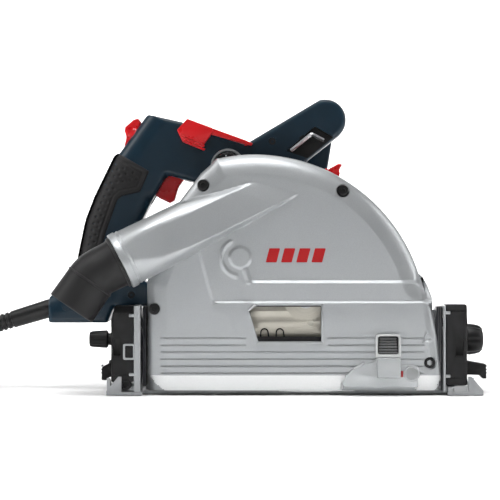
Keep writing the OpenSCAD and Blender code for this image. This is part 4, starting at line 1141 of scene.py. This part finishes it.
def front_bar():
    """Round bar across the front with a soft cap, and its strut on the motor."""
    profile = [(0, 15.5), (0.8, 17), (3, 17), (4, 16.2), (6, 16.0), (8, 16.4), (40, 16.8), (44, 16.9),
               (47.4, 16.9), (48, 16.5), (48.8, 16.5), (49.4, 17), (52, 16.7), (54, 15.2), (54.8, 13)]
    bar = turned("front_bar", (GRIP_END[0], 81.1, GRIP_END[1]), (0, 1, 0), profile, "petrol", 72)
    sleeve = turned("front_bar_sleeve", (GRIP_END[0], 88, GRIP_END[1]), (0, 1, 0),
                    [(0, 16.2), (0.6, 17.1)] + [(1.5 + 2.2*k + d, 17.1 - c) for k in range(12)
                                                for d, c in ((0, 0), (0.5, 0.45), (1.1, 0.45), (1.6, 0))]
                    + [(28.6, 17.1), (29, 16.3)], "rubber", 72)
    strut = fillet([(16, 262, 3), (44, 262, 3), (34, 200, 20), (28, 140, 3), (-8, 140, 3), (10, 200, 20)])
    strut = plate("front_strut", strut, 118, 134, 2.5, "petrol", segments=4)
    cut(strut, [turned("motor_tool", (MOTOR[0], 100, MOTOR[1]), (0, 1, 0), [(0, 39.6), (60, 39.6)], n=96)])
    put_whole("front_handle", [bar, sleeve, strut], "motor_unit", ["front_grip"])


def sleeve_piece():
    """Smooth tapered sleeve with a few relief grooves near its end."""
    axis = (-math.cos(math.radians(17)), 0, -math.sin(math.radians(17)))
    profile = [(-3, 8.6), (0, 8.9), (1, 9.0), (36, 8.4)]
    for s in (38, 43, 48):
        profile += [(s, 8.3), (s + 0.5, 7.2), (s + 1.9, 7.2), (s + 2.4, 8.2)]
    profile += [(55, 8.0), (58.5, 7.4), (60, 6.0)]
    sleeve = turned("cord_relief", (-235, 62, 77.8), axis, profile, "cord", 48)
    put(sleeve, "motor_unit", ["cord_sleeve"])


handle_half("handle_shell_near", HANDLE_Y[0], SPLIT_Y - 0.15, "handle_near_shell")
handle_half("handle_shell_far", SPLIT_Y + 0.15, HANDLE_Y[1], "handle_far_shell")
grip_overmould()
handle_trim()
trigger_piece()
lock_piece()
mode_lever_piece()
dial_piece()
front_bar()
sleeve_piece()

# ---- brackets, knobs and levers at both ends ----

def arc_slot(r, half, a0, a1):
    """Outline of an arc slot with round ends about the bevel line."""
    out = circle_pts((0, 0), r + half, 20, a0, a1)
    out += circle_pts(polar((0, 0), r, a1), half, 12, a1, a1 + 180)[1:-1]
    out += circle_pts((0, 0), r - half, 20, a1, a0)
    out += circle_pts(polar((0, 0), r, a0), half, 12, a0 + 180, a0 + 360)[1:-1]
    return out


def bracket(name, x0, x1, r, low, node, outer):
    """Black scale cover with a slot, recesses and scale marks; its outer face looks to +X or -X."""
    x_face = x1 if outer > 0 else x0
    a1 = math.degrees(math.acos(72/r))
    edge = [(-12, low, 1), (72, low, 1)] + circle_pts((0, 0), r, 26, a1, 96.5) + [(-12, min(78, r - 6), 3)]
    body = plate(name, [fillet(edge), arc_slot(67, 6, 45, 94)], x0, x1, 1.6, "black", "yz", 4)
    recess_x = (x1 - 10.6, x1 - 3.4) if outer > 0 else (x0 + 2.4, x0 + 8.8)
    past_x0, past_x1 = x0 - 5, x1 + 5
    cut(body, [block("recess_tool", (recess_x[0], -20, 36), (recess_x[1], -8.6, 52), bevel=0.5),
               block("cap_tool", (past_x0, -20, r - 7.4), (past_x1, -11.2, r - 6.6), None, 0.1, 1),
               block("skirt_tool", (past_x0, -20, low + 6.4), (past_x1, -11.4, low + 7), None, 0.1, 1)])
    if outer < 0:
        co = coords_of(body)
        co[:, 0] = np.maximum(co[:, 0], x0 + np.clip(co[:, 2] - 70, 0, 20)*0.3)
        set_coords(body, co)
    pieces = [body]
    # plain graduation lines on the outer face beside the slot, every fifth one long
    for a in range(48, 93, 3):
        r0 = 56.5 if (a - 48) % 15 else 54.5
        mark = block("mark", (-0.25, r0, -0.3), (0.25, 59.5, 0.3), "white_print", 0.1, 1)
        turn = Matrix.Rotation(math.radians(a), 4, "X")
        mark.data.transform(Matrix.Translation(((x_face + outer*0.05)*MM, 0, 0)) @ turn)
        pieces.append(mark)
    # ribs on the outer face
    rib_x0, rib_x1 = sorted((x_face, x_face + outer*1.2))
    pieces += [block("rib", (rib_x0, y, low + 4), (rib_x1, y + 2.2, 30), "black", 0.4) for y in (58, 64)]
    put_whole(name + "_body", pieces, "base", [node])


def box_outline(x0, x1, z0, z1):
    return [(x0, z0), (x1, z0), (x1, z1), (x0, z1)]


def quadrant_strip(name, x0, x1, node, foot, hooks, ring):
    """Silver quadrant: slotted plate with a flanged foot, hooks for the scale cover and a small frame."""
    edge = [(-13, 3), (82.95, 3)] + circle_pts((0, 0), 83, 40, 2.2, 98.6)
    pieces = [plate(name, [edge, arc_slot(67, 4.4, 44.8, 94.3)], x0, x1, 0.45, "silver", "yz", 2),
              block("foot", (foot[0], -8, 3), (foot[1], 53, 8.4), "silver", 0.8),
              block("foot_b", (foot[0], 53, 7.6), (foot[1], 74, 8.4), "silver", 0.3)]
    pieces += [block("hook", (x, -13.2, z), (x + 5.2, -11.2, z + 3), "silver", 0.6) for x, z in hooks]
    if ring:
        rx0, rx1, rz0, rz1 = ring
        hole = box_outline(rx0 + 1.8, rx1 - 1.4, rz0 + 1.8, rz1 - 1.8)
        outlines = [fillet(box_outline(*ring), 1.6), fillet(hole, 1)]
        pieces += [plate("ring", outlines, -13.4, -11.4, 0.35, "silver"),
                   turned("ring_pin", ((rx0 + rx1)/2 + 0.8, -11.9, (rz0 + rz1)/2 + 2.2), (0, -1, 0),
                          [(0, 2.6), (0.8, 2.6), (1.1, 2.2)], "black", 24)]
    put_whole(name + "_body", pieces, "base", [node])


def knob(name, start, profile, lobes, body, node):
    """Clamp knob turned about X, with rounded grip lobes."""
    direction = (1, 0, 0) if start[0] > 0 else (-1, 0, 0)

    def shape(a, along):
        fade = min(1.0, max(0.0, (along - profile[2][0])/3.0))
        return 1 - 0.07*fade*max(0.0, math.cos(lobes*a))**3

    put(turned(name, start, direction, profile, "black", 120, shape), body, [node])


def end_lever(name, hub_x, rib_x, edge, body, node):
    """Bevel release lever: a hub on its pivot and an arm with three ribs on its end."""
    hub_turn = [(0, 7.4), (2.8, 7.4), (3.6, 7), (4, 6.2)]
    pieces = [turned("hub", (hub_x, 20, 23), (math.copysign(1, hub_x), 0, 0), hub_turn, "black", 48),
              plate("arm", fillet(edge), 13.2, 26.8, 1.3, "black", segments=4)]
    pieces += [block("rib", (rib_x, 12.9, z), (rib_x + 1, 27.1, z + 1.4), "black", 0.3)
               for z in (18, 21.2, 24.4)]
    put_whole(name, pieces, body, [node])


def foot_screws():
    """Socket screws of the quadrant feet, and the stop screw at the rear one's near side."""
    heads = [socket_screw("stop_screw", (-156.4, -9.2, 9.6), (0, -1, 0), 5.4, 3.4, "black", 0.62)]
    for x in (-158, 152):
        for y in (14, 44):
            heads.append(socket_screw("foot_screw", (x, y, 6.6), (0, 0, 1), 3.7, 2.2, "dark_casting"))
    put_whole("foot_screws", heads, "base", ["quadrant_screws"])


def gaiters():
    """Dark seals between the guard's ends and the quadrants, with fine vertical ribs."""
    for name, x0, x1 in (("rear_seal", -140.7, -137.2), ("front_seal", 131.4, 136.8)):
        mat = "black" if x0 < 0 else "pad_grey"
        pieces = [block("seal", (x0, -8, 8), (x1, 2, 82), mat, 0.8)]
        for x in np.linspace(x0 + 0.8, x1 - 0.8, 3):
            pieces.append(block("seal_rib", (x - 0.4, -9.4, 9), (x + 0.4, -7.6, 81), "dark_casting", 0.3))
        put_whole(name, pieces, "guard")


bracket("front_bracket", 139.5, 159.4, 84, 9, "front_scale_cover", 1)
bracket("rear_bracket", -169.9, -148.8, 82.7, 12, "rear_scale_cover", -1)
quadrant_strip("front_quadrant_plate", 137.2, 139.4, "front_quadrant", (139.3, 160),
               [(138.4, 74.5), (138.6, 16)], None)
quadrant_strip("rear_quadrant_plate", -148.7, -142.6, "rear_quadrant", (-168, -142.7),
               [(-153.2, 72), (-153.2, 17.5)], (-158.6, -148, 32.6, 47.4))
knob("front_knob", (159.8, 46.12, 48.6),
     [(0, 8.4), (3.2, 8.2), (4.6, 8.0), (5.2, 13.6), (6.0, 14.75), (9, 15.0), (14, 14.4), (18.4, 13.2),
      (21.0, 10.8), (22.0, 7.0)], 6, "front_knob", "front_bevel_knob")
knob("rear_knob", (-170.4, 46.12, 48.6),
     [(0, 6.0), (4.4, 6.0), (6.4, 5.8), (7, 7.4), (8, 8.7), (14, 8.4), (22, 7.8), (24.2, 7.2), (25, 5.6)],
     8, "rear_knob", "rear_bevel_knob")
end_lever("front_release", 159.9, 179.9,
          [(161, 29.8, 1.5), (163, 29.8, 2), (180.4, 26.8, 1.4), (180.8, 13.2, 0.8), (177.4, 13.2, 0.6),
           (174.6, 16.4, 1.5), (161, 17.0, 1)], "front_lever", "front_bevel_lever")
end_lever("rear_release", -170.4, -181.1,
          [(-171, 28.6, 1), (-174, 27.4, 1.5), (-180.6, 24, 1.2), (-181, 11.8, 1), (-176.8, 11.4, 1),
           (-173.6, 14.4, 1), (-171, 15)], "rear_lever", "rear_bevel_lever")
foot_screws()
gaiters()

# ---- splinter guard and depth stop ----

def splinter_guard():
    """Clear sliding tongue beside the blade, with its riser, a round sight and a red mark."""
    edge = [(43, 12, 2), (50, 22, 3), (60, 28, 4), (72, 31, 2), (76, 35, 1), (97, 35, 1), (98, 28.5, 1.5),
            (113, 28, 2), (113, 7.8, 1), (47, 7.8, 2)]
    tongue = plate("tongue", fillet(edge), -18.8, -16.7, 0.45, "clear", segments=2)
    riser = fillet([(75, 16, 2), (97, 16, 2), (97, 35, 1), (75, 35, 1)])
    riser = plate("riser", riser, -22.9, -18.3, 0.9, "clear")
    sight = turned("sight", (107.6, -18.3, 20.4), (0, -1, 0),
                   [(0, 7.2), (1.4, 7.2), (2.0, 6.6), (2.0, 5.6), (0.9, 5.2)], "clear", 48)
    lip = fillet([(56, 27.4), (63.5, 31.6), (64.6, 29.8), (50.8, 21.6), (47.5, 16.2), (45.4, 17)], 0.6)
    put_whole("splinter_tongue", [tongue, riser, sight, plate("lip", lip, -19.2, -18.3, 0.3, "clear")],
              "splinter", ["splinter_guard"])
    mark = fillet(box_outline(97.4, 99.4, 17, 22.8), 0.3)
    mark = plate("splinter_mark", mark, -19.0, -18.7, 0.05, "red_print")
    disc = turned("splinter_disc", (107.6, -18.35, 20.4), (0, -1, 0), [(0, 5.0), (0.6, 5.0), (0.7, 4.6)],
                  "black", 40)
    put_whole("splinter_marks", [mark, disc], "splinter")


def splinter_pad():
    """Ribbed grip pad of the splinter guard in its rounded frame."""
    edge = fillet([(73.8, 35.4, 2), (97.2, 35.4, 2), (97.2, 56.8, 3.2), (73.8, 56.8, 3.2)])
    hollow = fillet([(76, 38.2, 2), (95, 38.2, 2), (95, 54.8, 2.4), (76, 54.8, 2.4)])
    back = fillet(box_outline(74.8, 96.2, 36.4, 55.8), 2)
    pieces = [plate("pad_frame", [edge, hollow], -22.4, -16.4, 0.9, "frosted"),
              plate("pad_back", back, -19.2, -16.5, 0.3, "black")]
    for i in range(6):
        long = 17.8 - 0.5*i
        pieces.append(turned("pad_rib", (76.6 + 0.25*i, -19.4, 39.6 + 2.6*i), (1, 0, 0),
                             [(0, 0.3), (0.6, 0.95), (long - 0.5, 0.95), (long, 0.3)], "pad_grey", 16))
    put_whole("splinter_grip_pad", pieces, "splinter", ["splinter_pad"])


def depth_stop():
    """Red slider on the guard's arc, with its thumb tab and pointer."""
    c, s = polar((0, 0), 1, 63.2)

    def at(r, t, *rounding):
        """A point at radius r, and t millimetres along the arc."""
        return (ARC_C[0] + r*c + t*s, ARC_C[1] + r*s - t*c, *rounding)

    base = circle_pts(ARC_C, 162.6, 10, 60.7, 65.8) + circle_pts(ARC_C, 147.4, 10, 65.8, 60.7)
    tab = [at(160, -5.6, 0.6), at(164.2, -3.6, 1), at(171.6, 1.6, 0.8), at(172.6, 5.2, 0.8),
           at(166.6, 5.0, 1.4), at(163.6, 7.2, 0.6), at(160, 7.4, 0.6)]
    pieces = [plate("stop_body", fillet(base, 0.8), 18.8, 23.9, 0.9, "red"),
              plate("stop_tab", fillet(tab), 17.4, 23.8, 0.8, "red")]
    for r in (150, 153.2, 156.4):
        rib = fillet([at(r, -4.6), at(r, 4.6), at(r + 1.2, 4.6), at(r + 1.2, -4.6)], 0.4)
        pieces.append(plate("stop_rib", rib, 18.0, 19.2, 0.35, "red"))
    put_whole("depth_stop_slider", pieces, "depth_stop", ["depth_stop"])


splinter_guard()
splinter_pad()
depth_stop()

# ---- saw blade ----

def saw_blade():
    """Toothed plate with four hook-shaped slots, two slots holding black plates as painted shade, a plug and
    carbide tips.
    """
    teeth, r = 48, 82.5
    tooth = ((0, 0), (0.9, 0.5), (3.2, 3.6), (4.4, 5.6), (5.4, 6.0), (6.5, 5.0), (7.15, 2.6))
    edge = [polar(SPIN, r - depth, 360*k/teeth + turn) for k in range(teeth) for turn, depth in tooth]
    holes = [circle_pts(SPIN, 10, 48)]
    for base in (45, 135, 225, 315):
        hook = [polar(SPIN, r - 17 + 4.0*math.cos(b), base + 3.3*math.sin(b))
                for b in np.radians(range(-150, 151, 20))]
        left, right = beside(hook, 0.35, 0.35)
        holes.append(left + right[::-1])
    # two round-topped slots with black plates in them as painted shade, and a round plug
    slot_shades_and_plug = []
    for x in (-28.0, -13.6):
        slot = [(x - 4.2, 49), (x - 4.0, 56)] + circle_pts((x, 57.4), 4.0, 12, 180, 0)
        slot += [(x + 4.2, 56), (x + 5.4, 49), (x + 4.2, 49), (x + 2.9, 56)]
        slot += circle_pts((x, 57.4), 2.7, 12, 0, 180) + [(x - 2.8, 56), (x - 3.0, 49)]
        holes.append(slot)
        slot_shades_and_plug.append(plate("slot_shade", slot, -0.86, 0.7, 0.02, "black", segments=1))
    slot_shades_and_plug.append(turned("blade_plug", (14.6, -0.6, 66.8), (0, -1, 0),
                        [(0, 3.3), (0.3, 3.3), (0.45, 3.0), (0.3, 2.2)], "pale", 32))
    plate_obj = plate("blade_plate", [edge] + holes, -0.8, 0.8, 0.06, "blade", segments=1, angle=30)
    tips = []
    for k in range(teeth):
        turn = 360*k/teeth + 0.6
        x, z = polar(SPIN, r - 0.05, turn)
        tip = block("tip", (-3.4, -1.05, -0.6), (0.0, 1.05, 0.9), "steel", 0.15, 1)
        tip.data.transform(Matrix.Translation((x*MM, 0, z*MM)) @ Matrix.Rotation(-math.radians(turn), 4, "Y"))
        tips.append(tip)
    blade = join("saw_blade_plate", [plate_obj] + tips + slot_shades_and_plug)
    put(blade, "blade_spindle", ["saw_blade"])


saw_blade()

# ---- carried-over CAD pieces ----

CAD_LOOKS = {
    # material: (bevel width in mm, nodes)
    "casting": (0.7, ["base_plate", "guard_housing", "gear_case"]),
    "dark_casting": (0.6, ["gear_cover", "inner_flange", "switch_module"]),
    "blade": (0.3, ["outer_flange"]),
    "steel": (0.3, ["pivot_pin", "return_spring", "front_clamp_bolt", "rear_clamp_bolt", "blade_bolt",
                    "spindle", "motor_bearings", "spindle_bearings"]),
    "bright_steel": (0.0, ["drive_gear"]),
    "petrol": (0.9, ["motor_housing"]),
    "black": (0.6, ["motor_end_cap", "front_rail_cam", "rear_rail_cam", "glide_strips", "depth_scale",
                    "cooling_fan"]),
    "clear": (0.3, ["cut_indicator"]),
    "copper": (0.0, ["stator", "rotor"]),
    "brass": (0.3, ["brush_holders"]),
}


def dress_cad():
    for mat, (width, names) in CAD_LOOKS.items():
        for name in names:
            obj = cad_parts[name]
            if not obj.material_slots:
                obj.data.materials.append(MATS[mat])
            for slot in obj.material_slots:
                slot.material = MATS[mat]
            if width:
                bevel = obj.modifiers.new("rounded", "BEVEL")
                bevel.width, bevel.segments, bevel.limit_method = width*MM, 3, "ANGLE"
                bevel.angle_limit, bevel.harden_normals = math.radians(40), True


dress_cad()
